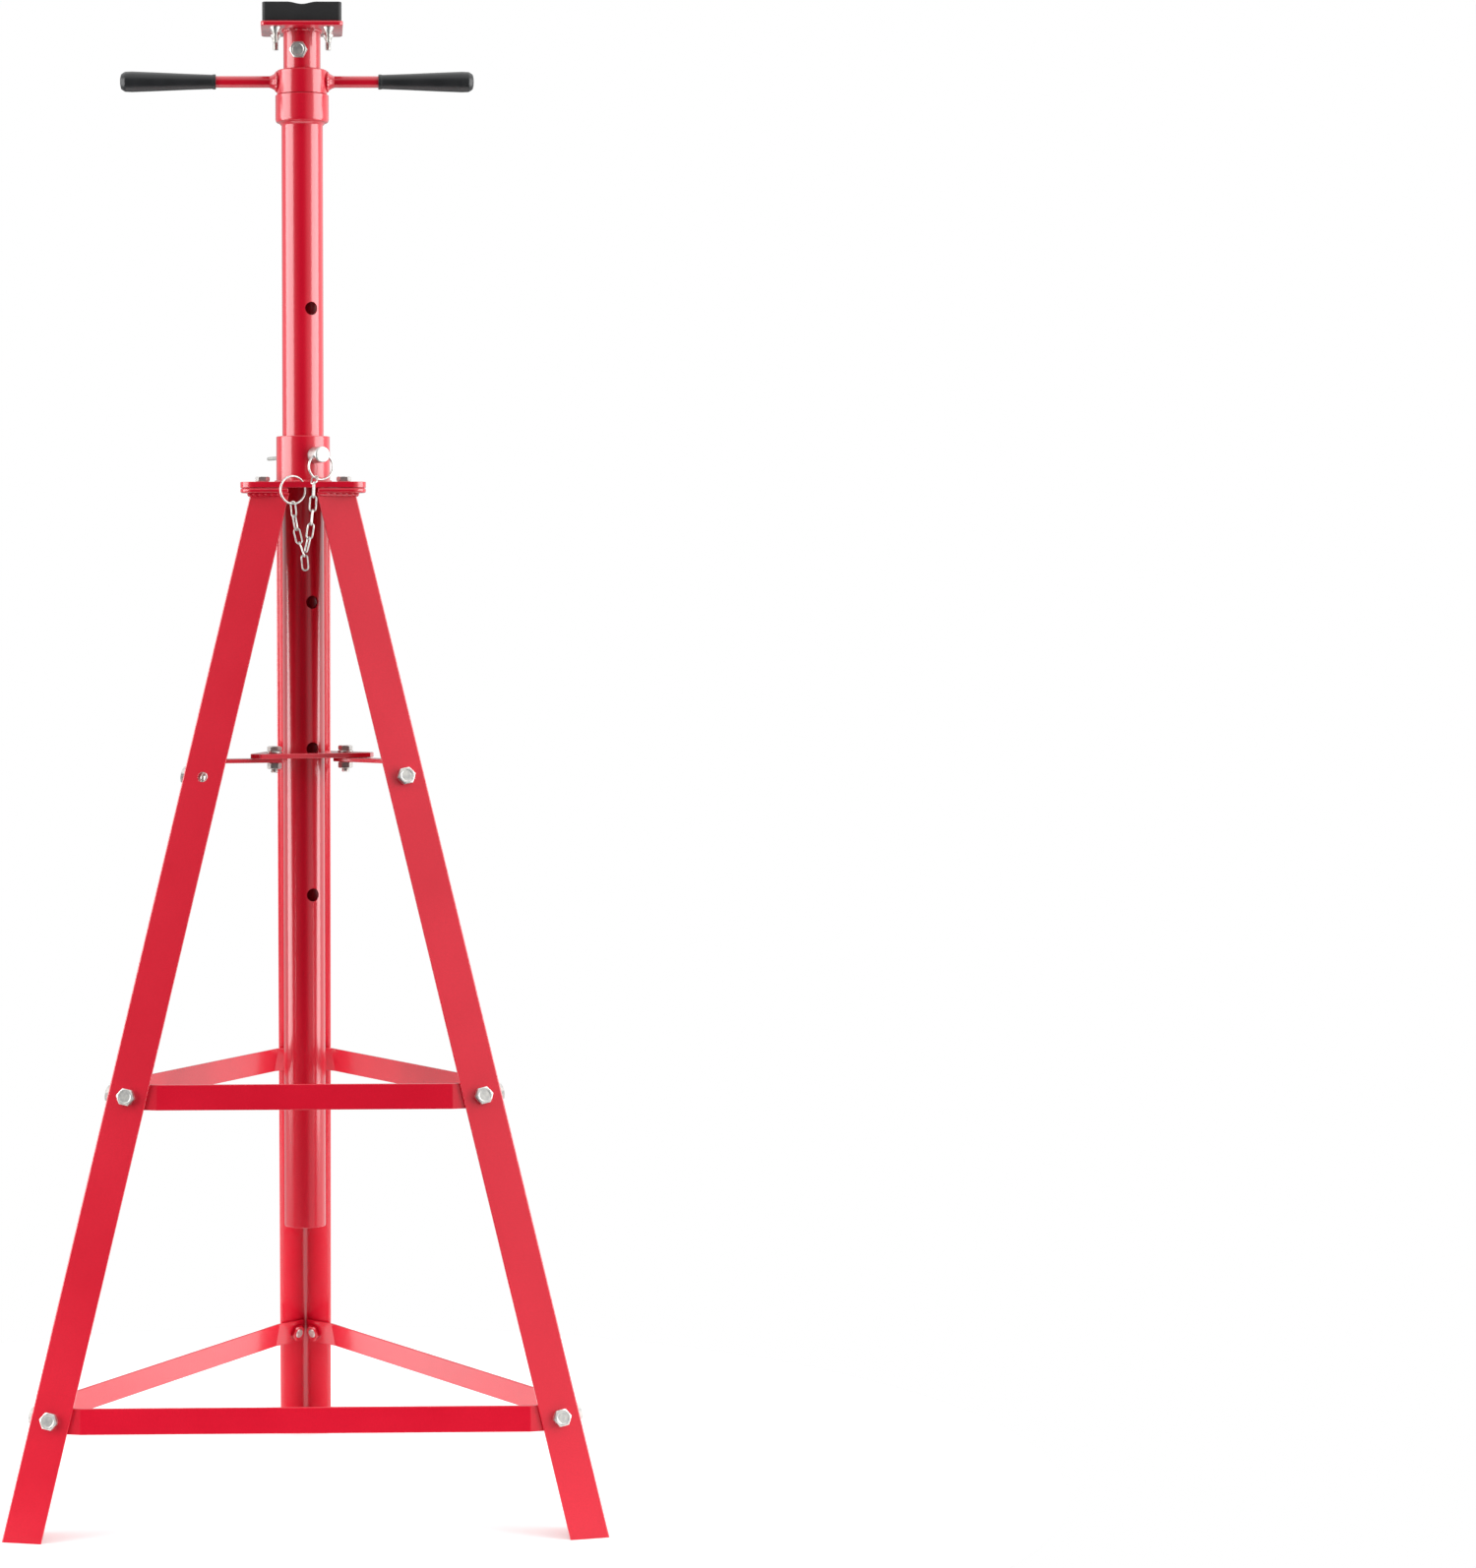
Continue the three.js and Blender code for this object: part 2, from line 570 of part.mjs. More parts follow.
function saddleGeometry() {
  const tray = slab(roundedSquare(TRAY_SIDE, TRAY_CORNER), TRAY_BOTTOM, TRAY_BOTTOM + TRAY_HEIGHT);
  const recess = slab(
    roundedSquare(TRAY_SIDE - 2 * TRAY_RIM, TRAY_CORNER - TRAY_RIM),
    TRAY_BOTTOM + TRAY_FLOOR, TRAY_BOTTOM + TRAY_HEIGHT + 5,
  );
  const sleeve = upright(SLEEVE_RADIUS, SLEEVE_BOTTOM, TRAY_BOTTOM + 1);
  const bead = upright(SLEEVE_RADIUS + 1.8, TRAY_BOTTOM - 2, TRAY_BOTTOM + 1);
  const bore = upright(SCREW_RADIUS + GAP, SLEEVE_BOTTOM - 5, TRAY_BOTTOM - 2 + GAP);
  const studHoles = Object.values(studPlaces).map(([x, y]) => {
    return upright(STUD_RADIUS + 0.5, TRAY_BOTTOM - 5, TRAY_BOTTOM + 5, COARSE).translate(x, y, 0);
  });
  return cut(join(tray, sleeve, bead), recess, bore, crossHole, ...studHoles);
}

piece('saddle', saddleGeometry(), PAINT);

// The pad's side profile falls in a soft S from the front to the rear, and a shallow
// round channel runs front to rear through its high edge.
function padGeometry() {
  const bottom = TRAY_BOTTOM + TRAY_FLOOR + GAP;
  const half = PAD_SIDE / 2;
  const profile = new THREE.Shape();
  profile.moveTo(-half, bottom);
  profile.lineTo(half, bottom);
  profile.lineTo(half, PAD_TOP - PAD_LOW);
  profile.lineTo(half - 24, PAD_TOP - PAD_LOW + 1.6);
  profile.bezierCurveTo(
    half - 38, PAD_TOP - PAD_LOW + 2.8, -half + 34, PAD_TOP, -half + 24, PAD_TOP,
  );
  profile.lineTo(-half, PAD_TOP);
  const raised = { depth: PAD_SIDE, bevelEnabled: false, curveSegments: 8 };
  const block = new THREE.ExtrudeGeometry(profile, raised).translate(0, 0, -half);
  // Profile x becomes depth (+Y), profile y becomes height, and the extrusion is width.
  block.applyMatrix4(new THREE.Matrix4().set(
    0, 0, 1, 0, 1, 0, 0, 0, 0, 1, 0, 0, 0, 0, 0, 1,
  ));
  const channelRadius = 55;
  const channel = new THREE.CylinderGeometry(channelRadius, channelRadius, PAD_SIDE + 20, 96);
  channel.translate(0, 0, PAD_TOP - 1.5 + channelRadius);
  const plan = slab(roundedSquare(PAD_SIDE, PAD_CORNER), bottom - 5, PAD_TOP + 5);
  return geometryOf(solidOf(cut(block, channel)).intersect(solidOf(plan)));
}

piece('saddle_pad', padGeometry(), RUBBER);

const studTop = TRAY_BOTTOM + TRAY_FLOOR;
for (const [where, [x, y]] of Object.entries(studPlaces)) {
  const stud = upright(STUD_RADIUS, STUD_BOTTOM, studTop, COARSE);
  piece(`pad_stud_${where}`, stud, ZINC).position.set(x, y, 0);
}

const boltSeat = SLEEVE_RADIUS + GAP;
const saddleBolt = join(
  hexagon(M10.flats, boltSeat, boltSeat + M10.head),
  upright(M10.shank, -boltSeat - 10, boltSeat + 0.5, COARSE),
);
piece('saddle_bolt', saddleBoltWise(saddleBolt), ZINC);
const saddleNut = cut(
  hexagon(M10.flats, -boltSeat - 8, -boltSeat),
  upright(M10.hole, -boltSeat - 20, 0, COARSE),
);
piece('saddle_nut', saddleBoltWise(saddleNut), ZINC);

// ---- Locking pin, its pull ring and its chain --------------------------------------
// The pin is one bar in the real stand. Here the length inside the mast is left out,
// so that the mast can slide past it: a head end and a nose end move together.

const headFrom = COLLAR_RADIUS + GAP;
const pinCut = MAST_RADIUS + GAP;

function wireRing(radius, wire, azimuth, x, y, z) {
  const ring = new THREE.TorusGeometry(radius, wire, 6, 20);
  return ring.rotateX(Math.PI / 2).rotateZ(radians(azimuth)).translate(x, y, z);
}

const pullRingAt = pinDirection.clone().multiplyScalar(PULL_RING.out);
const pullRing = (wire) => wireRing(
  PULL_RING.radius, wire, PIN_AZIMUTH + 90, pullRingAt.x, pullRingAt.y, PULL_RING.z,
);
const pinHead = pinWise(turned([
  [0, pinCut], [PIN_RADIUS, pinCut], [PIN_RADIUS, headFrom],
  [PIN_HEAD_RADIUS, headFrom], [PIN_HEAD_RADIUS, PIN_HEAD_TO - PIN_CHAMFER],
  [PIN_HEAD_RADIUS - PIN_CHAMFER, PIN_HEAD_TO], [0, PIN_HEAD_TO],
]), PIN_HEIGHT);
piece('locking_pin', cut(pinHead, pullRing(RING_WIRE + GAP + 0.1)), ZINC);
piece('locking_pin_nose', pinWise(turned([
  [0, -PIN_TAIL], [2, -PIN_TAIL], [2, -PIN_TAIL + 5], [1.5, -PIN_TAIL + 6], [1.5, -40],
  [3.2, -39], [PIN_RADIUS, -35], [PIN_RADIUS, -pinCut], [0, -pinCut],
], 16), PIN_HEIGHT), ZINC);
piece('pull_ring', pullRing(RING_WIRE), ZINC);
piece('anchor_ring', wireRing(
  ANCHOR_RING.radius, RING_WIRE, ANCHOR_RING.turn, ANCHOR_RING.x, ANCHOR_RING.y, ANCHOR_RING.z,
), ZINC);

// The chain's joints, where one link bears in the next. The right-hand strand hangs
// from the pull ring over the plate's edge; the left-hand one from the anchor ring,
// with the lowest link hanging where the two strands meet.
const RIGHT_STRAND = [
  [11.9, -39.0, 1053.3], [10.9, -51.4, 1046.8], [10.3, -51.6, 1032.8], [9.4, -51.3, 1018.8],
  [8.1, -50.8, 1004.9], [6.6, -50.2, 991.0], [4.9, -49.5, 977.1],
];
const LEFT_STRAND = [
  [-10.5, -43.0, 1027.4], [-9.2, -44.1, 1013.5], [-6.9, -45.4, 999.8], [-3.7, -46.7, 986.2],
  [0.8, -48.0, 973.0],
];
const LOWEST_LINK = [[0.8, -48.0, 973.0], [2.2, -48.2, 959.1]];

// One link between two joints: a stadium of wire, turned about its length.
function linkGeometry(from, to, twist, trim) {
  const a = new THREE.Vector3(...from);
  const b = new THREE.Vector3(...to);
  const along = b.clone().sub(a).normalize();
  const across = new THREE.Vector3(1, 0, 0).addScaledVector(along, -along.x).normalize();
  across.applyAxisAngle(along, radians(twist));
  const bend = CHAIN_WIDTH / 2 - CHAIN_WIRE;
  const straight = a.distanceTo(b) / 2 + CHAIN_WIRE - trim - bend;
  const middle = a.add(b).multiplyScalar(0.5);
  const loop = [];
  for (const end of [1, -1]) {
    for (let i = 0; i <= 4; i += 1) {
      const angle = (end > 0 ? 0 : Math.PI) + Math.PI * i / 4 - Math.PI / 2;
      const forward = end * straight + bend * Math.cos(angle);
      const side = bend * Math.sin(angle);
      loop.push(middle.clone().addScaledVector(along, forward).addScaledVector(across, side));
    }
  }
  return loopOfWire(loop, along.clone().cross(across));
}

// A closed tube of six sides round a flat loop of points.
function loopOfWire(loop, normal) {
  const sides = 6;
  const count = loop.length;
  const positions = [];
  const index = [];
  loop.forEach((point, i) => {
    const before = loop[(i + count - 1) % count];
    const after = loop[(i + 1) % count];
    const tangent = after.clone().sub(before).normalize();
    const outward = tangent.clone().cross(normal).normalize();
    for (let k = 0; k < sides; k += 1) {
      const angle = 2 * Math.PI * k / sides;
      const at = point.clone();
      at.addScaledVector(outward, CHAIN_WIRE * Math.cos(angle));
      at.addScaledVector(normal, CHAIN_WIRE * Math.sin(angle));
      positions.push(at.x, at.y, at.z);
      const a = i * sides + k;
      const b = i * sides + (k + 1) % sides;
      const c = ((i + 1) % count) * sides + k;
      const d = ((i + 1) % count) * sides + (k + 1) % sides;
      index.push(a, c, b, b, c, d);
    }
  });
  const geometry = new THREE.BufferGeometry();
  geometry.setAttribute('position', new THREE.Float32BufferAttribute(positions, 3));
  geometry.setIndex(index);
  return geometry;
}

// Neighbouring links press a little into each other, which makes a strand one body.
function strandLinks(joints, firstTwist, turn) {
  return joints.slice(1).map((joint, i) => {
    return linkGeometry(joints[i], joint, firstTwist + turn * i, CHAIN_PRESS);
  });
}

const rightLinks = strandLinks(RIGHT_STRAND, 20, 81);
const leftLinks = strandLinks(LEFT_STRAND, 40, 77);
piece('chain_right', join(...rightLinks), ZINC);
piece('chain_left', join(...leftLinks, linkGeometry(...LOWEST_LINK, 0, CHAIN_PRESS)), ZINC);

// ---- Footprint -----------------------------------------------------------------------

// The rear foot's corner and the front feet's toes bound the footprint front to back.
const frontToe = onFlange(-1, LEG_FLANGE, 0, 0);
frontToe.applyAxisAngle(new THREE.Vector3(0, 0, 1), radians(LEG_AZIMUTHS.right));
stand.position.y = -(LEG_FOOT_RADIUS + frontToe.y) / 2;

const model = new THREE.Group();
model.add(stand);

export default model;
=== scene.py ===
import bpy
import bmesh
from math import atan, cos, hypot, pi, radians, sin, sqrt, tan
from mathutils import Matrix, Vector


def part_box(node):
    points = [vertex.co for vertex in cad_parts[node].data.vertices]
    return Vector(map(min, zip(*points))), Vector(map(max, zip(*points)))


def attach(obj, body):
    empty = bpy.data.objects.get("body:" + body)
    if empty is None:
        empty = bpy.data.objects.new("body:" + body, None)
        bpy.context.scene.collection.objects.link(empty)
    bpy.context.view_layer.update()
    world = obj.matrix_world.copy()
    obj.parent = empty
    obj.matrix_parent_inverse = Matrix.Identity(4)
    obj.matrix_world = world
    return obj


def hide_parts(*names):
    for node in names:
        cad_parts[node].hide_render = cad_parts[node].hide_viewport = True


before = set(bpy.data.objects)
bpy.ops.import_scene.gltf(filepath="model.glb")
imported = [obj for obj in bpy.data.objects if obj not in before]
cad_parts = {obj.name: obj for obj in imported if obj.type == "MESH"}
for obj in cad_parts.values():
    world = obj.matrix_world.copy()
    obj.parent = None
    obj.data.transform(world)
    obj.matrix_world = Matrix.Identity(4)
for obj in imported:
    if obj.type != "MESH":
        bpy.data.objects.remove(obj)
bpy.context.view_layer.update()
scene = bpy.context.scene
scene.view_settings.view_transform = "Standard"


# ---- Camera -----------------------------------------------------------------
# A long lens a little under a metre off the floor, in front of the stand. It is
# turned and shifted, which leaves the stand upright at the left of the frame.

EYE = Vector((0.0001, -3.9984, 0.924))
PAN, TILT, ROLL = radians(1.34), radians(-1.23), radians(-0.136)
LENS_LENGTH = 87.44
LENS_SHIFT = (0.22, -0.0627)

ahead = Vector((sin(PAN) * cos(TILT), cos(PAN) * cos(TILT), sin(TILT)))
level = Vector((cos(PAN), -sin(PAN), 0))
over = level.cross(ahead)
right = level * cos(ROLL) + over * sin(ROLL)
up = over * cos(ROLL) - level * sin(ROLL)
lens = bpy.data.cameras.new("camera")
lens.lens = LENS_LENGTH
lens.shift_x, lens.shift_y = LENS_SHIFT
lens.clip_end = 100
camera = bpy.data.objects.new("camera", lens)
scene.collection.objects.link(camera)
camera.matrix_world = Matrix.Translation(EYE) @ Matrix((right, up, -ahead)).transposed().to_4x4()
scene.camera = camera


# ---- Studio -----------------------------------------------------------------
# A pale round of floor in a bright room, whose ceiling, rear wall and sides glow.
# Two tall soft boxes stand to the left and to the right of the stand.

FLOOR_RADIUS, FLOOR_BACK = 0.8, 0.05
FLOOR_WHITE, FLOOR_ROUGHNESS, FLOOR_SHINE = 0.86, 0.75, 0.2
BOXES_HEIGHT, BOXES_TALL = 1.25, 2.8
BOXES_AIM = Vector((0, -0.08, BOXES_HEIGHT))


def tree_node(tree, kind, links=None, **settings):
    """One shader node; links gives what feeds its sockets, or a value for them."""
    made = tree.nodes.new(kind)
    for name, value in settings.items():
        setattr(made, name, value)
    for socket, source in (links or {}).items():
        if isinstance(source, bpy.types.NodeSocket):
            tree.links.new(source, made.inputs[socket])
        else:
            made.inputs[socket].default_value = source
    return made


room = bpy.data.worlds.new("room")
room.use_nodes = True
scene.world = room
room.node_tree.nodes.clear()
toward = tree_node(room.node_tree, "ShaderNodeTexCoord").outputs["Generated"]
parts = tree_node(room.node_tree, "ShaderNodeSeparateXYZ", {"Vector": toward})


def glow_along(axis, start, end, dark, bright):
    """The room's glow on one side, easing from dark to bright along an axis."""
    return tree_node(room.node_tree, "ShaderNodeMapRange", {
        "Value": parts.outputs[axis], "From Min": start, "From Max": end,
        "To Min": dark, "To Max": bright,
    }, interpolation_type="SMOOTHSTEP").outputs[0]


def added(one, other):
    total = tree_node(room.node_tree, "ShaderNodeMath", {0: one, 1: other}, operation="ADD")
    return total.outputs[0]


rear_wall = glow_along("Y", -0.3, 0.5, 0.02, 0.42)
ceiling = glow_along("Z", 0.3, 0.9, 0.0, 1.3)
right_wall = glow_along("X", 0.15, 0.55, 0.0, 0.5)
left_wall = glow_along("X", -0.2, -0.6, 0.0, 0.12)
strength = added(added(rear_wall, ceiling), added(right_wall, left_wall))
white = (1, 1, 1, 1)
glow = tree_node(room.node_tree, "ShaderNodeBackground", {"Color": white, "Strength": strength})
seen = tree_node(room.node_tree, "ShaderNodeBackground", {"Color": white})
ray = tree_node(room.node_tree, "ShaderNodeLightPath")
either = tree_node(room.node_tree, "ShaderNodeMixShader", {
    0: ray.outputs["Is Camera Ray"], 1: glow.outputs[0], 2: seen.outputs[0],
})
tree_node(room.node_tree, "ShaderNodeOutputWorld", {"Surface": either.outputs[0]})


def soft_box(name, x, y, width, watts):
    lamp = bpy.data.lights.new(name, "AREA")
    lamp.shape = "RECTANGLE"
    lamp.size, lamp.size_y, lamp.energy = width, BOXES_TALL, watts
    box = bpy.data.objects.new(name, lamp)
    scene.collection.objects.link(box)
    box.location = (x, y, BOXES_HEIGHT)
    box.rotation_euler = (BOXES_AIM - box.location).to_track_quat("-Z", "Y").to_euler()


soft_box("box_left", -2.45, -0.6, width=2.5, watts=105)
soft_box("box_right", 2.42, -0.72, width=2.2, watts=92)

ground = bmesh.new()
bmesh.ops.create_circle(ground, cap_ends=True, radius=FLOOR_RADIUS, segments=96)
floor_mesh = bpy.data.meshes.new("floor")
ground.to_mesh(floor_mesh)
ground.free()
floor = bpy.data.objects.new("floor", floor_mesh)
scene.collection.objects.link(floor)
floor.location.y = FLOOR_BACK
floor_paint = bpy.data.materials.new("floor_paint")
floor_paint.use_nodes = True
floor_shader = floor_paint.node_tree.nodes["Principled BSDF"]
floor_shader.inputs["Base Color"].default_value = (FLOOR_WHITE, FLOOR_WHITE, FLOOR_WHITE, 1)
floor_shader.inputs["Roughness"].default_value = FLOOR_ROUGHNESS
floor_shader.inputs["Specular IOR Level"].default_value = FLOOR_SHINE
floor_mesh.materials.append(floor_paint)


# ---- Legs -------------------------------------------------------------------
# Three pieces of 40 x 40 x 3 mm angle iron, heel outwards, cut level at the
# foot. Each is drilled at three heights in both flanges, and powder coated.

MM = 0.001
LEG_RUN_IN = 0.2746                 # how far a leg comes in per unit of height
FLANGE, WALL = 40, 3
LEG_AZIMUTHS = {"left": 210, "right": 330, "rear": 90}
RING_HEIGHTS = {"upper": 432, "lower": 117}
STRAP_BOLT_HEIGHT = 750
BOLT_ALONG = 20                     # from a leg's heel to its bolts, along the flange
BOLT_HOLE = 5.25
END_PLATE_WALL = 5                  # the leg stops under it
DRILL_PAST = 4                      # how far a drill runs past the metal it cuts
HEEL_ROUND, TOE_ROUND, ROOT_ROUND = 1.6, 0.7, 5.5
GAP = 0.3                           # between two pieces that touch

mast_low, mast_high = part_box("mast_tube")
MAST_AXIS = Matrix.Translation(((mast_low.x + mast_high.x) / 2, (mast_low.y + mast_high.y) / 2, 0))


def span(node):
    """A CAD node's lowest and highest corners in millimetres, about the mast's axis."""
    low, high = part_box(node)
    home = MAST_AXIS.inverted()
    return home @ low / MM, home @ high / MM


foot_radius = span("leg_rear")[1].y
plate_bottom = span("top_plate")[0].z
end_plate_top = plate_bottom - GAP
end_plate_bottom = end_plate_top - END_PLATE_WALL


def around(azimuth):
    """From a leg's own frame, with the leg standing out along +X, to its place."""
    return MAST_AXIS @ Matrix.Rotation(radians(azimuth), 4, "Z")


def new_finish(name):
    """A finish, its shader, and a maker of noise that stays fixed to the piece."""
    finish = bpy.data.materials.new(name)
    finish.use_nodes = True
    tree = finish.node_tree
    spot = tree_node(tree, "ShaderNodeTexCoord").outputs["Object"]

    def noise(scale, detail):
        return tree_node(tree, "ShaderNodeTexNoise", {
            "Vector": spot, "Scale": scale, "Detail": detail,
        }).outputs[0]

    return finish, tree.nodes["Principled BSDF"], noise


def shade(shader, source, low, high, low_at=0.0, high_at=1.0):
    """Colours a finish from one shade to another as its source rises."""
    tree = shader.id_data
    ramp = tree_node(tree, "ShaderNodeValToRGB", {"Fac": source})
    for stop, at, colour in zip(ramp.color_ramp.elements, (low_at, high_at), (low, high)):
        stop.position, stop.color = at, (*colour, 1)
    tree.links.new(ramp.outputs["Color"], shader.inputs["Base Color"])


def dull(shader, source, low, high):
    """Makes a finish rougher, from low to high, as its source rises."""
    rough = tree_node(shader.id_data, "ShaderNodeMapRange", {
        "Value": source, "To Min": low, "To Max": high,
    })
    shader.id_data.links.new(rough.outputs[0], shader.inputs["Roughness"])


def grain(shader, source, strength, depth):
    """Raises a finish's skin by a depth in metres where its source is high."""
    bump = tree_node(shader.id_data, "ShaderNodeBump", {
        "Height": source, "Strength": strength, "Distance": depth,
    })
    shader.id_data.links.new(bump.outputs[0], shader.inputs["Normal"])


# Stoved powder paint: a faint orange peel and a slightly uneven colour under gloss.
RED, shader, noise = new_finish("red_powder_coat")
drift, speck = noise(9.0, 3.0), noise(700.0, 2.0)
blend = tree_node(shader.id_data, "ShaderNodeMath", {0: drift, 1: speck, 2: 0.25},
                  operation="MULTIPLY_ADD")
shade(shader, blend.outputs[0], (0.53, 0.0014, 0.017), (0.64, 0.0028, 0.0235), 0.3, 0.75)
dull(shader, drift, 0.25, 0.36)
grain(shader, noise(420.0, 1.5), 0.16, 0.0004)
shader.inputs["Coat Weight"].default_value = 1.0
shader.inputs["Coat Roughness"].default_value = 0.14


def soften(points, radius, closed=True, steps=4):
    """Rounds an outline's corners. A radius may be one number or one for each corner."""
    count = len(points)
    made = []
    for i, point in enumerate(points):
        size = radius[i] if isinstance(radius, (list, tuple)) else radius
        if size == 0 or (not closed and i in (0, count - 1)):
            made.append(tuple(point))
            continue
        here = Vector(point)
        before = Vector(points[i - 1]) - here
        after = Vector(points[(i + 1) % count]) - here
        turn = before.angle(after) / 2
        reach = min(size / tan(turn), 0.48 * before.length, 0.48 * after.length)
        start, end = here + before.normalized() * reach, here + after.normalized() * reach
        for step in range(steps + 1):
            t = step / steps
            made.append(tuple(start * (1 - t) ** 2 + here * 2 * t * (1 - t) + end * t ** 2))
    return made


def prism(outline, bottom, top, run=(0, 0)):
    """An outline raised from one height to another; run is its drift per unit of height."""
    form = bmesh.new()
    rings = []
    for height in (bottom, top):
        dx, dy = run[0] * height, run[1] * height
        rings.append([form.verts.new((x + dx, y + dy, height)) for x, y in outline])
    form.faces.new(reversed(rings[0]))
    form.faces.new(rings[1])
    for i in range(len(outline)):
        k = (i + 1) % len(outline)
        form.faces.new((rings[0][i], rings[0][k], rings[1][k], rings[1][i]))
    bmesh.ops.recalc_face_normals(form, faces=form.faces)
    return as_mesh(form)


def as_mesh(form):
    mesh = bpy.data.meshes.new("form")
    form.to_mesh(mesh)
    form.free()
    return mesh


def revolve(profile, sides=96, closed=False):
    """A turned form. A profile point is (radius, height), or a function of the angle."""
    form = bmesh.new()
    rings = []
    for point in profile:
        if not callable(point) and point[0] < 1e-6:
            rings.append([form.verts.new((0, 0, point[1]))])
            continue
        ring = []
        for i in range(sides):
            angle = 2 * pi * i / sides
            radius, height = point(angle) if callable(point) else point
            ring.append(form.verts.new((radius * cos(angle), radius * sin(angle), height)))
        rings.append(ring)
    pairs = list(zip(rings, rings[1:]))
    if closed:
        pairs.append((rings[-1], rings[0]))
    for low, high in pairs:
        for i in range(sides):
            k = i + 1
            corners = (low[i % len(low)], low[k % len(low)],
                       high[k % len(high)], high[i % len(high)])
            form.faces.new(list(dict.fromkeys(corners)))
    bmesh.ops.recalc_face_normals(form, faces=form.faces)
    return as_mesh(form)


def shaped(mesh, tools, operation="DIFFERENCE"):
    """A mesh cut by its tools, or joined to them."""
    blank = bpy.data.objects.new("blank", mesh)
    scene.collection.objects.link(blank)
    helpers = []
    for tool in tools:
        helper = bpy.data.objects.new("tool", tool)
        scene.collection.objects.link(helper)
        step = blank.modifiers.new("cut", "BOOLEAN")
        step.object, step.operation, step.solver = helper, operation, "EXACT"
        helpers.append(helper)
    bpy.context.view_layer.update()
    graph = bpy.context.evaluated_depsgraph_get()
    result = bpy.data.meshes.new_from_object(blank.evaluated_get(graph))
    for used in [blank, *helpers]:
        bpy.data.objects.remove(used)
    return result


def ready(mesh, finish, sharp=32):
    """Brings a finished mesh to metres, gives it its finish and smooths its round faces."""
    mesh.transform(Matrix.Scale(MM, 4))
    mesh.materials.clear()
    mesh.materials.append(finish)
    mesh.polygons.foreach_set("use_smooth", [True] * len(mesh.polygons))
    mesh.set_sharp_from_angle(angle=radians(sharp))
    return mesh


def place(name, mesh, at, body, slot, *stands_for, edge=0.0):
    """One piece of the stand, riding on its body; edge is the radius of its worn corners."""
    mesh = mesh.copy()
    mesh.transform(at)
    piece = bpy.data.objects.new(name + "_finished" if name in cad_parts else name, mesh)
    scene.collection.objects.link(piece)
    if edge:
        rounding = piece.modifiers.new("edges", "BEVEL")
        rounding.width, rounding.segments = edge * MM, 3
        rounding.limit_method, rounding.angle_limit = "ANGLE", radians(38)
        shading = piece.modifiers.new("shading", "WEIGHTED_NORMAL")
        shading.keep_sharp = True
    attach(piece, body)
    if stands_for:
        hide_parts(*stands_for)
    return piece


lean = atan(LEG_RUN_IN)
leg_up = Vector((-sin(lean), 0, cos(lean)))
leg_out = Vector((cos(lean), 0, sin(lean)))
leg_side = Vector((0, 1, 0))


def flange_along(side):
    return (-leg_out + leg_side * side).normalized()


def flange_out(side):
    return (leg_out + leg_side * side).normalized()


def on_flange(side, along, depth, height):
    """A point a distance along a flange, a depth inside its face, at a height."""
    point = Vector((foot_radius - LEG_RUN_IN * height, 0, height))
    point += flange_along(side) * along - flange_out(side) * depth
    return point + leg_up * ((height - point.z) / leg_up.z)


def through_flange(side, height, depth=0.0):
    """Where a bolt made upright, head up, stands out of a flange, in a leg's frame."""
    z_axis = flange_out(side)
    x_axis = leg_up
    y_axis = z_axis.cross(x_axis)
    turn = Matrix((x_axis, y_axis, z_axis)).transposed().to_4x4()
    return Matrix.Translation(on_flange(side, BOLT_ALONG, depth, height)) @ turn


def in_metres(matrix):
    moved = matrix.copy()
    moved.translation = matrix.translation * MM
    return moved


def rod(radius, bottom, top, sides=40):
    return revolve([(0, bottom), (radius, bottom), (radius, top), (0, top)], sides)


half, inside = FLANGE / sqrt(2), WALL * sqrt(2)
toe = half - WALL / sqrt(2)
section = soften(
    [(0, 0), (-half, half), (-half - inside / 2, toe), (-inside, 0),
     (-half - inside / 2, -toe), (-half, -half)],
    [HEEL_ROUND, TOE_ROUND, HEEL_ROUND, ROOT_ROUND, HEEL_ROUND, TOE_ROUND],
)
section = [(out / cos(lean), across) for out, across in section]
angle_iron = prism(section, 0, end_plate_bottom, (-LEG_RUN_IN, 0))
angle_iron.transform(Matrix.Translation((foot_radius, 0, 0)))
drills = []
for side in (-1, 1):
    for height in (*RING_HEIGHTS.values(), STRAP_BOLT_HEIGHT):
        drill = rod(BOLT_HOLE, -WALL - DRILL_PAST, DRILL_PAST)
        drill.transform(through_flange(side, height))
        drills.append(drill)
leg_mesh = ready(shaped(angle_iron, drills), RED)
for where, azimuth in LEG_AZIMUTHS.items():
    place(f"leg_{where}", leg_mesh, around(azimuth), "stand", "red_paint", f"leg_{where}",
          edge=0.35)


# ---- Leg end plates ---------------------------------------------------------
# A 5 mm plate welded level on top of each leg, with a nut welded under it. Its
# outer end is cut to the same round corner as the top plate above it.

LOBE_AT, LOBE_RADIUS = 57.4, 14.3
END_PLATE_INNER, END_PLATE_HALF = 33, 29
LEG_BEAD, LEG_POOLS = 2.9, 13       # a weld's radius, and the pools along it
BEAD_OUT, BEAD_DROP, BEAD_SPREAD = 0.8, 1.0, 1.02


def arc(centre, radius, start, end, steps=14):
    turn = [radians(start + (end - start) * i / steps) for i in range(steps + 1)]
    return [(centre[0] + radius * cos(a), centre[1] + radius * sin(a)) for a in turn]


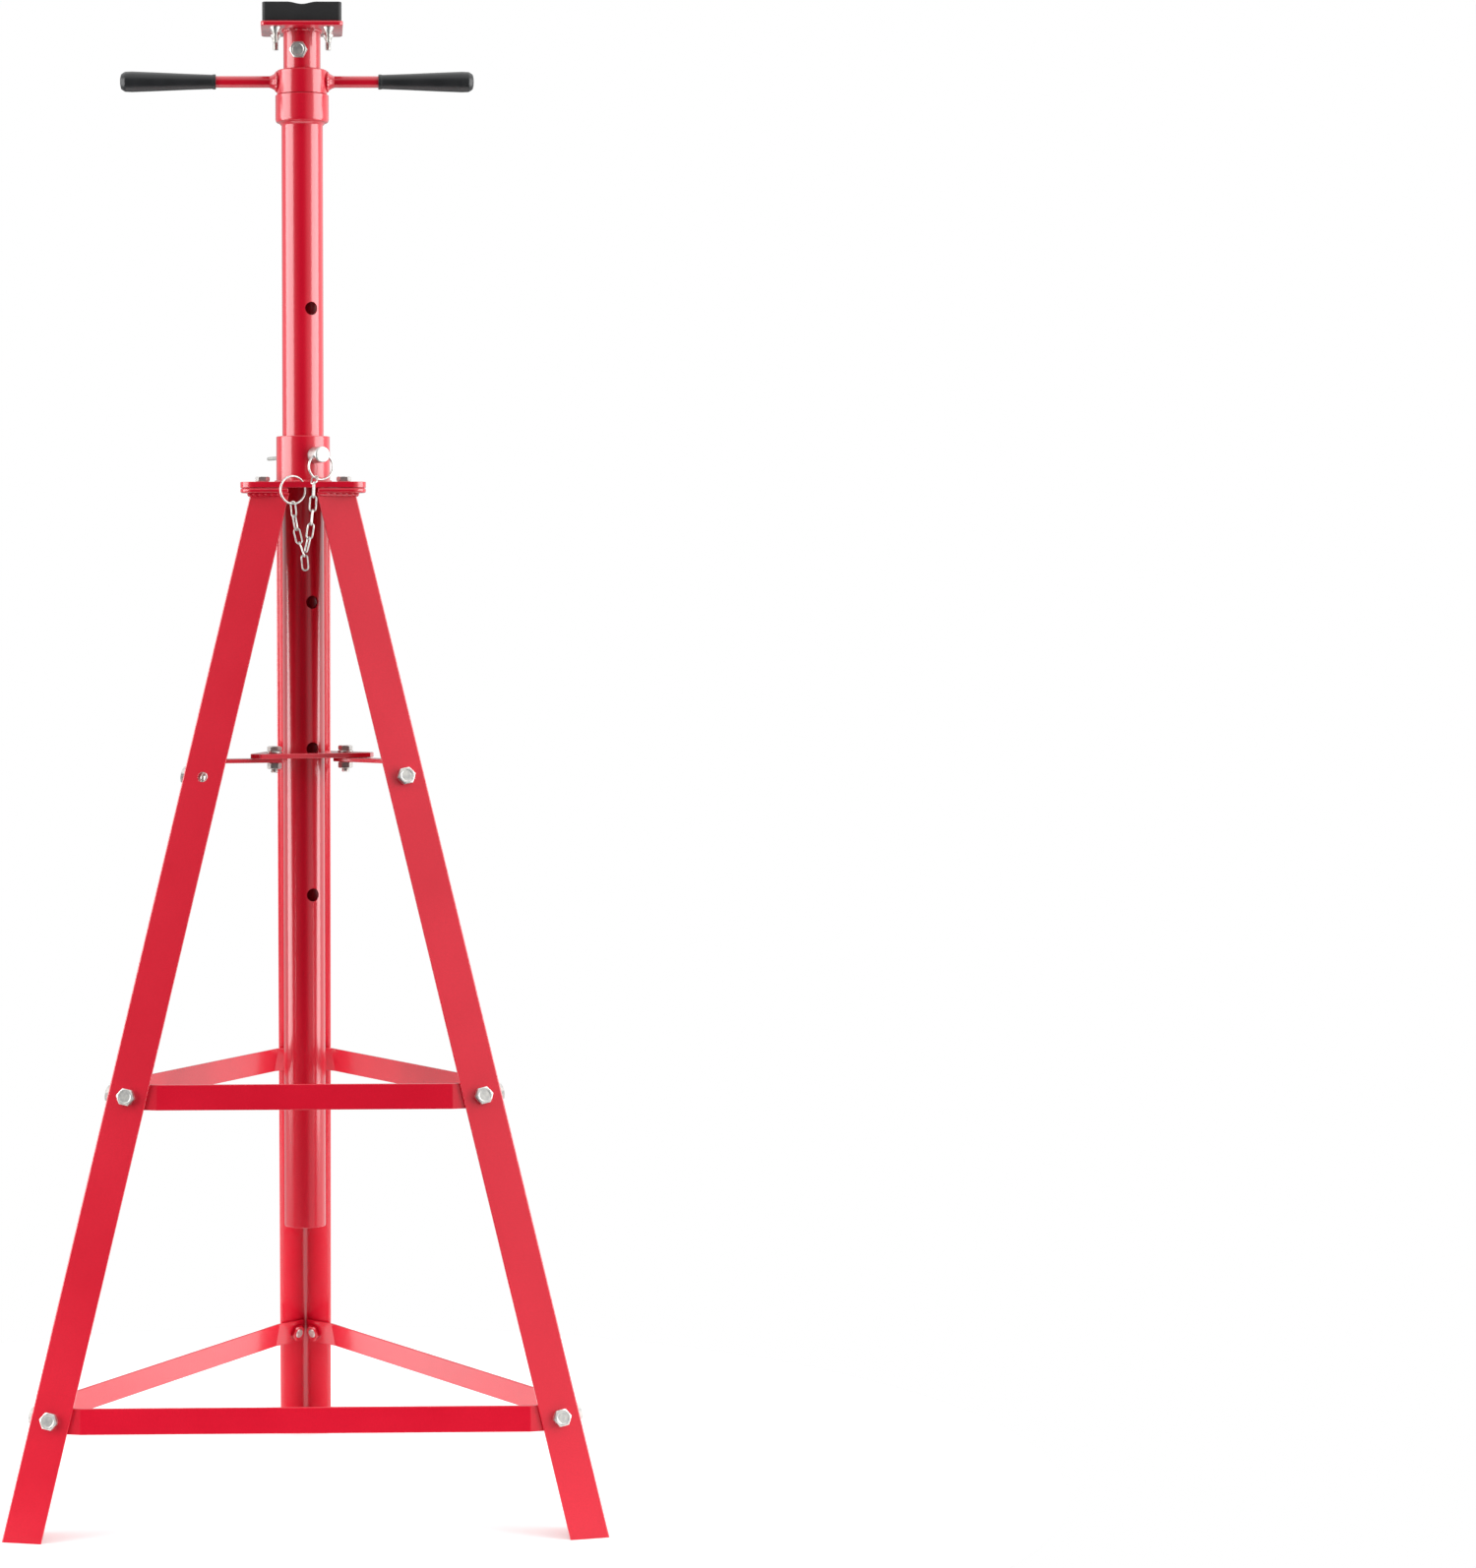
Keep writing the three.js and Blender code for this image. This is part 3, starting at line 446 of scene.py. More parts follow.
def sweep(points, radius, sides=12, closed=False):
    """A round wire or weld bead along points; its radius may be a function of the share run."""
    form = bmesh.new()
    points = [Vector(point) for point in points]
    count, rings, normal = len(points), [], None
    for i, point in enumerate(points):
        before = points[i - 1] if closed or i else point
        after = points[(i + 1) % count] if closed or i < count - 1 else point
        tangent = (after - before).normalized()
        if normal is None:
            normal = tangent.orthogonal()
        normal = (normal - tangent * normal.dot(tangent)).normalized()
        across = tangent.cross(normal)
        size = radius(i / (count if closed else count - 1)) if callable(radius) else radius
        turns = [2 * pi * k / sides for k in range(sides)]
        spokes = [normal * cos(turn) + across * sin(turn) for turn in turns]
        rings.append([form.verts.new(point + spoke * size) for spoke in spokes])
    pairs = list(zip(rings, rings[1:]))
    if closed:
        pairs.append((rings[-1], rings[0]))
    else:
        form.faces.new(reversed(rings[0]))
        form.faces.new(rings[-1])
    for low, high in pairs:
        for k in range(sides):
            m = (k + 1) % sides
            form.faces.new((low[k], low[m], high[m], high[k]))
    bmesh.ops.recalc_face_normals(form, faces=form.faces)
    return as_mesh(form)


def weld(points, radius, ripples, closed=False):
    """A hand-laid bead: its width swells and sinks with each pool of the weld."""
    count = ripples * 6
    run = [Vector(point) for point in points] + ([Vector(points[0])] if closed else [])
    lengths = [0.0]
    for a, b in zip(run, run[1:]):
        lengths.append(lengths[-1] + (b - a).length)
    line = []
    for i in range(count if closed else count + 1):
        at = lengths[-1] * i / count
        k = next(n for n in range(1, len(run)) if lengths[n] >= at - 1e-9)
        share = (at - lengths[k - 1]) / (lengths[k] - lengths[k - 1])
        line.append(run[k - 1].lerp(run[k], share))

    def width(share):
        pool = abs(sin(pi * ripples * share))
        end = 1 if closed else min(1, 0.35 + 9 * min(share, 1 - share))
        return radius * (0.84 + 0.2 * pool) * end

    return sweep(line, width, 10, closed)


lobe_edge = LOBE_RADIUS * sin(radians(60))
inward = (END_PLATE_HALF - lobe_edge) * tan(radians(60))
lobe_x = LOBE_AT + LOBE_RADIUS * cos(radians(60))
end_plate_outline = [
    (END_PLATE_INNER, -END_PLATE_HALF), (lobe_x - inward, -END_PLATE_HALF),
    *arc((LOBE_AT, 0), LOBE_RADIUS, -60, 60),
    (lobe_x - inward, END_PLATE_HALF), (END_PLATE_INNER, END_PLATE_HALF),
]
end_plate_mesh = ready(prism(end_plate_outline, end_plate_bottom, end_plate_top), RED)

neck = foot_radius - LEG_RUN_IN * end_plate_bottom
bead_height = end_plate_bottom - BEAD_DROP
seam = [
    (neck - half / cos(lean), half * BEAD_SPREAD, bead_height),
    (neck + BEAD_OUT, 0, bead_height),
    (neck - half / cos(lean), -half * BEAD_SPREAD, bead_height),
]
leg_weld_mesh = ready(weld(seam, LEG_BEAD, LEG_POOLS), RED)
for where, azimuth in LEG_AZIMUTHS.items():
    place(f"leg_plate_{where}", end_plate_mesh, around(azimuth), "stand", "red_paint", edge=1.8)
    place(f"leg_weld_{where}", leg_weld_mesh, around(azimuth), "stand", "red_paint")


# ---- Top plate and collar ---------------------------------------------------
# A 6 mm plate cut to a triangle with round corners. The collar, a turned sleeve
# that guides the mast, is welded through it and cross-drilled for the pin.

PIN_AZIMUTH, PIN_HEIGHT, PIN_HOLE = -64.4, 1076, 6.75
CROSS_DRILL = 40                    # half of the cross drill's length
MAST_BORE = 21.7
COLLAR_RADIUS = 27.5
COLLAR_BEAD, COLLAR_POOLS = 2.0, 40
ANCHOR_HOLE, ANCHOR_HOLE_RADIUS = (1.2, -37.1), 3.5

collar_top = span("top_plate")[1].z
deck = 1048.5                       # the plate's upper face, on which the bolts' heads sit


def across_mast(mesh, height):
    """Lays an upright form along the locking pin's axis, its top towards the pin's head."""
    mesh.transform(Matrix.Rotation(pi / 2, 4, "Y"))
    mesh.transform(Matrix.Rotation(radians(PIN_AZIMUTH), 4, "Z"))
    mesh.transform(Matrix.Translation((0, 0, height)))
    return mesh


plate_outline = []
for azimuth in sorted(LEG_AZIMUTHS.values()):
    centre = (LOBE_AT * cos(radians(azimuth)), LOBE_AT * sin(radians(azimuth)))
    plate_outline += arc(centre, LOBE_RADIUS, azimuth - 60, azimuth + 60)
drill_low, drill_high = plate_bottom - 3, deck + 3
ring_hole = rod(ANCHOR_HOLE_RADIUS, drill_low, drill_high)
ring_hole.transform(Matrix.Translation((*ANCHOR_HOLE, 0)))
plate_mesh = prism(plate_outline, plate_bottom, deck)
mast_hole = rod(MAST_BORE, drill_low, drill_high, 96)
plate_mesh = shaped(plate_mesh, [mast_hole, ring_hole])
place("top_plate", ready(plate_mesh, RED), MAST_AXIS, "stand", "red_paint", "top_plate", edge=2.3)

collar = soften(
    [(MAST_BORE, plate_bottom + 1), (COLLAR_RADIUS, plate_bottom + 1),
     (COLLAR_RADIUS, collar_top), (MAST_BORE, collar_top)],
    [0, 0, 1.1, 0.8],
)
cross_drill = across_mast(rod(PIN_HOLE, -CROSS_DRILL, CROSS_DRILL), PIN_HEIGHT)
collar_mesh = shaped(revolve(collar, 128, closed=True), [cross_drill])
place("guide_collar", ready(collar_mesh, RED), MAST_AXIS, "stand", "red_paint")
collar_seam = [(*point, deck + 0.6) for point in arc((0, 0), COLLAR_RADIUS + 0.4, 0, 352, 88)]
collar_weld_mesh = ready(weld(collar_seam, COLLAR_BEAD, COLLAR_POOLS, closed=True), RED)
place("collar_weld", collar_weld_mesh, MAST_AXIS, "stand", "red_paint")


# ---- Bolts, washers and nuts ------------------------------------------------
# Zinc-plated steel. The heads are forged hexagons, turned off at 30 degrees on
# top, and the ends of the shanks are rolled with thread.

M8 = {"flats": 13, "head": 5.3, "shank": 3.9, "pitch": 1.25, "nut": 6.5}
M10 = {"flats": 16, "head": 6.4, "shank": 4.9, "pitch": 1.5, "nut": 8}
CROWN = 0.47                        # radius of a head's turned top, of its width
PLATE_BOLT_AT = 48


# Bright zinc: cloudy, faintly blue and straw, with fine scratches in its gloss.
ZINC, shader, noise = new_finish("bright_zinc")
grit = noise(1800.0, 3.0)
shade(shader, noise(260.0, 4.0), (0.50, 0.50, 0.49), (0.70, 0.69, 0.65), 0.32, 0.68)
dull(shader, grit, 0.34, 0.5)
grain(shader, grit, 0.12, 0.0001)
shader.inputs["Metallic"].default_value = 1.0


def hexagon_edge(flats, height, crown, top):
    """A hexagon's edge, sloped off at 30 degrees outside the crown's circle."""
    def edge(angle):
        corner = flats / 2 / cos((angle + pi / 6) % (pi / 3) - pi / 6)
        drop = max(0, corner - crown) * tan(radians(30))
        return corner, height - drop if top else height + drop
    return edge


def thread_profile(radius, pitch, top, bottom):
    """Thread crests and roots down a shank, ending in a small chamfer."""
    depth, points = pitch * 0.6, [(radius, top)]
    turns = int((top - bottom - 1) / pitch)
    for i in range(turns):
        crest = top - pitch * i
        points += [(radius, crest - pitch * 0.15), (radius - depth, crest - pitch * 0.5),
                   (radius - depth, crest - pitch * 0.6), (radius, crest - pitch * 0.95)]
    return points + [(radius, bottom + 1), (radius - 1, bottom), (0, bottom)]


def bolt(size, length, threaded, seat=GAP):
    """A hex bolt made upright: its head stands on zero, its shank hangs below."""
    flats, top = size["flats"], seat + size["head"]
    crown = flats * CROWN
    profile = [
        (0, top - 0.35), (crown * 0.72, top - 0.35), (crown * 0.8, top), (crown, top),
        hexagon_edge(flats, top, crown, True), hexagon_edge(flats, seat + 0.5, crown, False),
        (crown, seat), (size["shank"], seat),
    ]
    profile += thread_profile(size["shank"], size["pitch"], -length + threaded, -length)
    return ready(revolve(profile, 48), ZINC, 24)


def nut(size, height, bottom, finish=ZINC):
    """A hex nut made upright, chamfered at both ends and threaded through."""
    flats, crown, bore = size["flats"], size["flats"] * CROWN, size["shank"] + 0.1
    profile = [
        (bore, bottom + 0.4), (bore + 0.5, bottom), (crown, bottom),
        hexagon_edge(flats, bottom, crown, False),
        hexagon_edge(flats, bottom + height, crown, True), (crown, bottom + height),
        (bore + 0.5, bottom + height), (bore, bottom + height - 0.4),
    ]
    return ready(revolve(profile, 48, closed=True), finish, 24)


def washer(size, thickness, bottom):
    """A flat ring with softened edges, wide enough to pass a head's corners."""
    outer, bore = size["flats"] * 0.62, size["shank"] + 0.4
    profile = soften([(bore, bottom), (outer, bottom), (outer, bottom + thickness),
                      (bore, bottom + thickness)], 0.3)
    return ready(revolve(profile, 48, closed=True), ZINC)


plate_bolt_mesh = bolt(M8, length=19, threaded=12)
weld_nut_mesh = nut(M8, M8["nut"], end_plate_bottom - M8["nut"], RED)
for where, azimuth in LEG_AZIMUTHS.items():
    seat = around(azimuth) @ Matrix.Translation((PLATE_BOLT_AT * MM, 0, 0))
    raised = seat @ Matrix.Translation((0, 0, deck * MM))
    place(f"plate_bolt_{where}", plate_bolt_mesh, raised, "stand", "zinc_plate",
          f"plate_bolt_{where}")
    place(f"plate_nut_{where}", weld_nut_mesh, seat, "stand", "red_paint")


# ---- Braces -----------------------------------------------------------------
# Flat bars, 25 x 3 mm, cold-bent near both ends to lie inside the legs'
# flanges. A thin nut is welded behind each end, and a bolt comes from outside.

BRACE_WIDTH, BRACE_WALL = 25, 3
BRACE_END, BRACE_BEND = 10.5, 50    # from a leg's heel, along the flange
SEAT = WALL + GAP                   # from a flange's face to a bar inside it
BRACE_INNER_BEND = 4
WELD_NUT = 4.5
BRACE_TURNS = {"front": 0, "right": 120, "left": 240}


def bent_bar(face, thickness, radius):
    """A bar's plan outline: its outer face given, the other a thickness to its left."""
    back = []
    for i, point in enumerate(face):
        here = Vector(point)
        into = here - Vector(face[i - 1]) if i else Vector(face[1]) - here
        out = Vector(face[i + 1]) - here if i < len(face) - 1 else into
        normal_in = Vector((-into.y, into.x)).normalized()
        normal_out = Vector((-out.y, out.x)).normalized()
        mitre = (normal_in + normal_out).normalized()
        back.append(tuple(here + mitre * (thickness / mitre.dot(normal_in))))
    outer = soften(face, radius + thickness, closed=False, steps=8)
    inner = soften(back, radius, closed=False, steps=8)
    return outer + inner[::-1]


def right_leg(vector):
    return Matrix.Rotation(radians(LEG_AZIMUTHS["right"]), 3, "Z") @ vector


brace_bolt_mesh = bolt(M10, SEAT + BRACE_WALL + WELD_NUT + 0.5, threaded=8)
brace_nut_mesh = nut(M10, WELD_NUT, -SEAT - BRACE_WALL - WELD_NUT, RED)
for ring, height in RING_HEIGHTS.items():
    end = right_leg(on_flange(-1, BRACE_END, SEAT, height))
    bend = right_leg(on_flange(-1, BRACE_BEND, SEAT, height))
    outer_end = right_leg(on_flange(-1, BRACE_END, 0, height))
    outer_bend = right_leg(on_flange(-1, BRACE_BEND, 0, height))
    flange_line = outer_bend - outer_end
    leg_line = right_leg(leg_up / leg_up.z)
    tip = leg_line.y - flange_line.y * leg_line.x / flange_line.x
    face = [(-end.x, end.y), (-bend.x, bend.y), (bend.x, bend.y), (end.x, end.y)]
    outline = bent_bar(face, BRACE_WALL, BRACE_INNER_BEND)
    bar = prism(outline, -BRACE_WIDTH / 2, BRACE_WIDTH / 2, (0, tip))
    bar.transform(Matrix.Translation((0, 0, height)))
    ready(bar, RED)
    for where, turn in BRACE_TURNS.items():
        name = f"{ring}_brace_{where}"
        place(name, bar, around(turn), "stand", "red_paint", name, edge=0.55)
    for where, azimuth in LEG_AZIMUTHS.items():
        for side, letter in ((-1, "a"), (1, "b")):
            at = around(azimuth) @ in_metres(through_flange(side, height))
            name = f"{ring}_bolt_{where}_{letter}"
            place(name, brace_bolt_mesh, at, "stand", "zinc_plate", name)
            place(f"{ring}_nut_{where}_{letter}", brace_nut_mesh, at, "stand", "red_paint")


# ---- Middle guide -----------------------------------------------------------
# A 5 mm triangular plate with a hole for the mast. Three straps of 22 x 4 mm
# flat run from under it to the legs, bent down there and bolted to one flange.

GUIDE_TURN = 16.7                   # the guide's corners stand this far round from the legs
GUIDE_REACH, GUIDE_TIP_HALF = 72, 7
GUIDE_BOLT_AT = 43.8
STRAP_WALL, STRAP_WIDTH = 4, 22
STRAP_NOSE, NOSE_CUT, NOSE_HALF = 12, 6, 6
WASHER = 1.5

guide_bottom, guide_top = span("guide_plate")[0].z, span("guide_plate")[1].z
strap_top = guide_bottom - GAP
strap_bottom = strap_top - STRAP_WALL
strap_end = span("guide_strap_rear")[0].z

tip_radius = hypot(GUIDE_REACH, GUIDE_TIP_HALF)
tip_turn = atan(GUIDE_TIP_HALF / GUIDE_REACH)
corners = []
for azimuth in sorted(LEG_AZIMUTHS.values()):
    for turn in (-tip_turn, tip_turn):
        angle = radians(azimuth + GUIDE_TURN) + turn
        corners.append((tip_radius * cos(angle), tip_radius * sin(angle)))
guide = prism(soften(corners, 3), guide_bottom, guide_top)
guide = shaped(guide, [rod(MAST_BORE, guide_bottom - DRILL_PAST, guide_top + DRILL_PAST, 96)])
place("guide_plate", ready(guide, RED), MAST_AXIS, "stand", "red_paint", "guide_plate", edge=0.7)

bolt_at = Vector((cos(radians(GUIDE_TURN)), sin(radians(GUIDE_TURN)))) * GUIDE_BOLT_AT
target = on_flange(-1, BOLT_ALONG, SEAT, strap_top).xy
near = on_flange(-1, 0, SEAT, strap_top).xy
along = (target - bolt_at).normalized()
across = Vector((-along.y, along.x))
wall = (target - near).normalized()
half_strap = STRAP_WIDTH / 2
spread = half_strap / abs(wall.dot(across))
outward = 1 if wall.dot(across) > 0 else -1
foot = [target - wall * spread * outward, target + wall * spread * outward]
nose = [(-STRAP_NOSE, NOSE_HALF), (-NOSE_CUT, half_strap), (0, half_strap)]
one_side = [bolt_at + along * u - across * v for u, v in nose]
other_side = [bolt_at + along * u + across * v for u, v in reversed(nose)]
strap = prism([tuple(p) for p in (*one_side, *foot, *other_side)], strap_bottom, strap_top)
inward_wall = -flange_out(-1).xy.normalized() * STRAP_WALL
tab_outline = [tuple(p) for p in (foot[0], foot[1], foot[1] + inward_wall, foot[0] + inward_wall)]
tab = prism(tab_outline, strap_end - strap_top, 0, (-LEG_RUN_IN, 0))
tab.transform(Matrix.Translation((0, 0, strap_top)))
strap_mesh = ready(shaped(strap, [tab], "UNION"), RED)
guide_bolt_mesh = bolt(M8, length=20, threaded=14, seat=GAP + WASHER)
guide_washer_mesh = washer(M8, WASHER, GAP)
guide_nut_mesh = nut(M8, M8["nut"], strap_bottom - GAP - M8["nut"])
strap_bolt_mesh = bolt(M10, length=18, threaded=13)
strap_nut_mesh = nut(M10, M10["nut"], -SEAT - STRAP_WALL - M10["nut"] - 0.2)
for where, azimuth in LEG_AZIMUTHS.items():
    place(f"guide_strap_{where}", strap_mesh, around(azimuth), "stand", "red_paint",
          f"guide_strap_{where}", edge=0.6)
    seat = around(azimuth) @ Matrix.Translation((bolt_at.x * MM, bolt_at.y * MM, 0))
    raised = seat @ Matrix.Translation((0, 0, guide_top * MM))
    place(f"guide_bolt_{where}", guide_bolt_mesh, raised, "stand", "zinc_plate",
          f"guide_bolt_{where}")
    place(f"guide_washer_{where}", guide_washer_mesh, raised, "stand", "zinc_plate")
    place(f"guide_nut_{where}", guide_nut_mesh, seat, "stand", "zinc_plate", f"guide_nut_{where}")
    at = around(azimuth) @ in_metres(through_flange(-1, STRAP_BOLT_HEIGHT))
    place(f"strap_bolt_{where}", strap_bolt_mesh, at, "stand", "zinc_plate", f"strap_bolt_{where}")
    place(f"strap_nut_{where}", strap_nut_mesh, at, "stand", "zinc_plate")


# ---- Mast -------------------------------------------------------------------
# 42.4 mm pipe with 3.2 mm walls, cross-drilled every 150 mm, with a turned cup
# for the thrust bearing welded on top. The bearing stays as it is in the frame.

MAST_RADIUS, MAST_WALL = 21.2, 3.2
CUP_BOTTOM, CUP_RADIUS, THROAT = 1416, 27.4, 15.7
PIN_PITCH = 150

bearing_low, bearing_high = span("thrust_bearing")
tube_bottom = span("mast_tube")[0].z
cup_floor, cup_top = bearing_low.z - GAP, span("mast_tube")[1].z
cup_bore = bearing_high.x + GAP
mast_inner = MAST_RADIUS - MAST_WALL
mast_profile = soften([
    (mast_inner, tube_bottom), (MAST_RADIUS, tube_bottom), (MAST_RADIUS, CUP_BOTTOM - 2),
    (MAST_RADIUS + 2.6, CUP_BOTTOM + 0.6), (CUP_RADIUS - 1, CUP_BOTTOM + 1.4),
    (CUP_RADIUS, CUP_BOTTOM + 4), (CUP_RADIUS, cup_top), (cup_bore, cup_top),
    (cup_bore, cup_floor), (THROAT, cup_floor), (THROAT, CUP_BOTTOM), (mast_inner, CUP_BOTTOM),
], [0.5, 0.5, 1.5, 1.5, 1.5, 3, 0.7, 0.4, 0.4, 0.4, 0.4, 0.4])
mast = revolve(mast_profile, 128, closed=True)
drills = [across_mast(rod(PIN_HOLE, -CROSS_DRILL, CROSS_DRILL), PIN_HEIGHT + PIN_PITCH * step)
          for step in range(-3, 2)]
place("mast_tube", ready(shaped(mast, drills), RED), MAST_AXIS, "mast", "red_paint", "mast_tube")
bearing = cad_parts["thrust_bearing"]
bearing.data.materials.clear()
bearing.data.materials.append(ZINC)


# ---- Turning nut, arms and grips --------------------------------------------
# A turned steel ring, threaded inside, stands on the bearing. Two 12 mm arms
# are welded into its sides, and each has a grip of dipped black vinyl.

NUT_BORE = 15.2
ARM_RADIUS, ARM_SHORT = 6, 14       # an arm stops this far short of its grip's tip
ARM_BEAD, ARM_BEAD_AT, ARM_POOLS = 2.6, 8.4, 15
ARM_FILLET = [(0, -2.5), (9.4, -2.5), (9.2, 1), (8.1, 3), (6.9, 5.2), (6.1, 7.5), (0, 7.5)]
GRIP_LENGTH = 98

nut_low, nut_high = span("turning_nut")
nut_radius = nut_high.x
arm_height = (span("arm_left")[0].z + span("arm_left")[1].z) / 2
nut_profile = soften([(NUT_BORE, nut_low.z), (nut_radius, nut_low.z), (nut_radius, nut_high.z),
                      (NUT_BORE, nut_high.z)], [0.4, 1.0, 1.4, 1.2])
place("turning_nut", ready(revolve(nut_profile, 128, closed=True), RED), MAST_AXIS,
      "turning_nut", "red_paint", "turning_nut")


# Dipped vinyl: black, satin, with the slow waves of a coat that ran as it set.
VINYL, shader, noise = new_finish("dipped_vinyl")
waves = noise(55.0, 2.0)
shade(shader, waves, (0.011, 0.012, 0.013), (0.021, 0.022, 0.024))
dull(shader, waves, 0.3, 0.42)
grain(shader, noise(900.0, 2.0), 0.14, 0.0002)

for where, direction in (("left", -1), ("right", 1)):
    low, high = span(f"grip_{where}")
    start = min(abs(low.x), abs(high.x))
    tip = start + GRIP_LENGTH
    lie = MAST_AXIS @ Matrix.Translation((0, 0, arm_height * MM))
    lie = lie @ Matrix.Rotation(direction * pi / 2, 4, "Y")
    arm = rod(ARM_RADIUS, nut_radius - 2, tip - ARM_SHORT, 48)
    place(f"arm_{where}", ready(arm, RED), lie, "turning_nut", "red_paint", f"arm_{where}")
    ring = [(*point, nut_radius - 0.4) for point in arc((0, 0), ARM_BEAD_AT, 0, 354, 59)]
    bead = ready(weld(ring, ARM_BEAD, ARM_POOLS, closed=True), RED)
    place(f"arm_weld_{where}", bead, lie, "turning_nut", "red_paint")
    fillet = revolve([(radius, nut_radius + reach) for radius, reach in ARM_FILLET], 48)
    place(f"arm_fillet_{where}", ready(fillet, RED, 50), lie, "turning_nut", "red_paint")
    grip = soften([
        (ARM_RADIUS + 0.15, start + 0.5), (7.7, start), (7.7, start + 2.6), (7.3, start + 4.2),
        (8.2, start + 30), (9.6, start + 62), (10.5, tip - 12), (10.2, tip - 5), (7.6, tip - 0.9),
        (3.5, tip), (0, tip),
    ], [0, 0.8, 0.8, 1, 12, 12, 6, 4, 3, 2, 0], closed=False, steps=6)
    grip_mesh = ready(revolve([(0, start + 0.9), *grip], 72), VINYL, 50)
    place(f"grip_{where}", grip_mesh, lie, "turning_nut", "grip_vinyl", f"grip_{where}")


# ---- Lifting screw ----------------------------------------------------------
# A 30 mm bar with a rolled trapezoidal thread of 6 mm pitch, black oxide and a
# film of oil. Its plain top end is bolted into the saddle's sleeve.

SCREW_CREST, SCREW_ROOT, SCREW_PITCH = 14.7, 11.6, 6.0

screw_low, screw_high = span("lift_screw")


def threaded_bar(bottom, length, pitch, stations, sides=60):
    """A true helix: stations are (share of the pitch, radius) from one crest to the next."""
    def radius_at(phase):
        points = [*stations, (1 + stations[0][0], stations[0][1])]
        for (p0, r0), (p1, r1) in zip(points, points[1:]):
            if p0 <= phase <= p1:
                return r0 + (r1 - r0) * (phase - p0) / (p1 - p0)
        return stations[-1][1]

    form = bmesh.new()
    per_turn = len(stations)
    rows = (int(length / pitch) + 3) * per_turn
    columns = []
    for j in range(sides):
        lead = j / sides
        column = []
        for i in range(rows):
            raw = (i // per_turn - 1 + stations[i % per_turn][0] + lead) * pitch
            height = min(max(raw, 0), length)
            reach = stations[i % per_turn][1]
            if raw != height:
                reach = radius_at((height / pitch - lead) % 1)
            angle = 2 * pi * lead
            point = (reach * cos(angle), reach * sin(angle), bottom + height)
            column.append(form.verts.new(point))
        columns.append(column)
    for j in range(sides):
        here, there = columns[j], columns[(j + 1) % sides]
        skip = per_turn if j == sides - 1 else 0
        for i in range(rows - 1 - skip):
            form.faces.new((here[i], there[i + skip], there[i + 1 + skip], here[i + 1]))
    bmesh.ops.remove_doubles(form, verts=form.verts, dist=0.0005)
    bmesh.ops.holes_fill(form, edges=form.edges, sides=0)
    bmesh.ops.recalc_face_normals(form, faces=form.faces)
    return as_mesh(form)


# Black oxide on rolled steel: nearly black, brown where it is thin, oily on the crests.
OXIDE, shader, noise = new_finish("black_oxide")
film = noise(130.0, 5.0)
shade(shader, film, (0.022, 0.022, 0.024), (0.06, 0.055, 0.052), 0.35, 0.7)
dull(shader, film, 0.24, 0.46)
shader.inputs["Metallic"].default_value = 0.85

shoulder = SCREW_CREST - 0.3
trapezoid = [(0.0, SCREW_CREST), (0.30, SCREW_CREST), (0.36, shoulder), (0.50, SCREW_ROOT),
             (0.84, SCREW_ROOT), (0.96, shoulder)]
screw = threaded_bar(screw_low.z, screw_high.z - screw_low.z, SCREW_PITCH, trapezoid)
place("lift_screw", ready(screw, OXIDE, 28), MAST_AXIS, "lift_screw", "screw_steel", "lift_screw")


# ---- Saddle -----------------------------------------------------------------
# A turned sleeve over the screw's top end, welded under a shallow square tray,
# held by one cross bolt. Painted red like the frame.

TRAY_HEIGHT, TRAY_FLOOR, TRAY_RIM, TRAY_CORNER = 4.5, 2.5, 1.2, 5
SLEEVE_RADIUS, SLEEVE_BORE = 19, 15.0
SLEEVE_BEAD, SLEEVE_POOLS = 1.7, 30
BOLT_AZIMUTH, BOLT_HEIGHT = -99, 1489

saddle_low, saddle_high = span("saddle")
tray_half = saddle_high.x
tray_top = saddle_high.z
tray_bottom = tray_top - TRAY_HEIGHT
sleeve_bottom = saddle_low.z


def rounded_square(half_side, corner, steps=8):
    reach = half_side - corner
    outline = []
    for turn, (x, y) in zip((270, 0, 90, 180), ((1, -1), (1, 1), (-1, 1), (-1, -1))):
        outline += arc((x * reach, y * reach), corner, turn, turn + 90, steps)
    return outline


def stacked(loops):
    """A closed form from loops of points, each loop joined to the next, both ends capped."""
    form = bmesh.new()
    rings = [[form.verts.new(point) for point in loop] for loop in loops]
    for low, high in zip(rings, rings[1:]):
        for i in range(len(low)):
            k = (i + 1) % len(low)
            form.faces.new((low[i], low[k], high[k], high[i]))
    form.faces.new(reversed(rings[0]))
    form.faces.new(rings[-1])
    bmesh.ops.recalc_face_normals(form, faces=form.faces)
    return as_mesh(form)


def square_loop(half_side, corner, height):
    return [(x, y, height) for x, y in rounded_square(half_side, corner)]


inner_half = tray_half - TRAY_RIM
tray = stacked([
    square_loop(tray_half - 0.9, TRAY_CORNER - 0.9, tray_bottom),
    square_loop(tray_half - 0.25, TRAY_CORNER - 0.25, tray_bottom + 0.25),
    square_loop(tray_half, TRAY_CORNER, tray_bottom + 0.9),
    square_loop(tray_half, TRAY_CORNER, tray_top - 0.4),
    square_loop(tray_half - 0.4, TRAY_CORNER - 0.4, tray_top),
    square_loop(inner_half + 0.2, TRAY_CORNER - TRAY_RIM + 0.2, tray_top),
    square_loop(inner_half, TRAY_CORNER - TRAY_RIM, tray_top - 0.2),
    square_loop(inner_half, TRAY_CORNER - TRAY_RIM, tray_bottom + TRAY_FLOOR),
])
place("saddle_tray", ready(tray, RED, 50), MAST_AXIS, "lift_screw", "red_paint")
sleeve = soften([(SLEEVE_BORE, sleeve_bottom), (SLEEVE_RADIUS, sleeve_bottom),
                 (SLEEVE_RADIUS, tray_bottom), (SLEEVE_BORE, tray_bottom)], [0.5, 0.9, 0, 0])
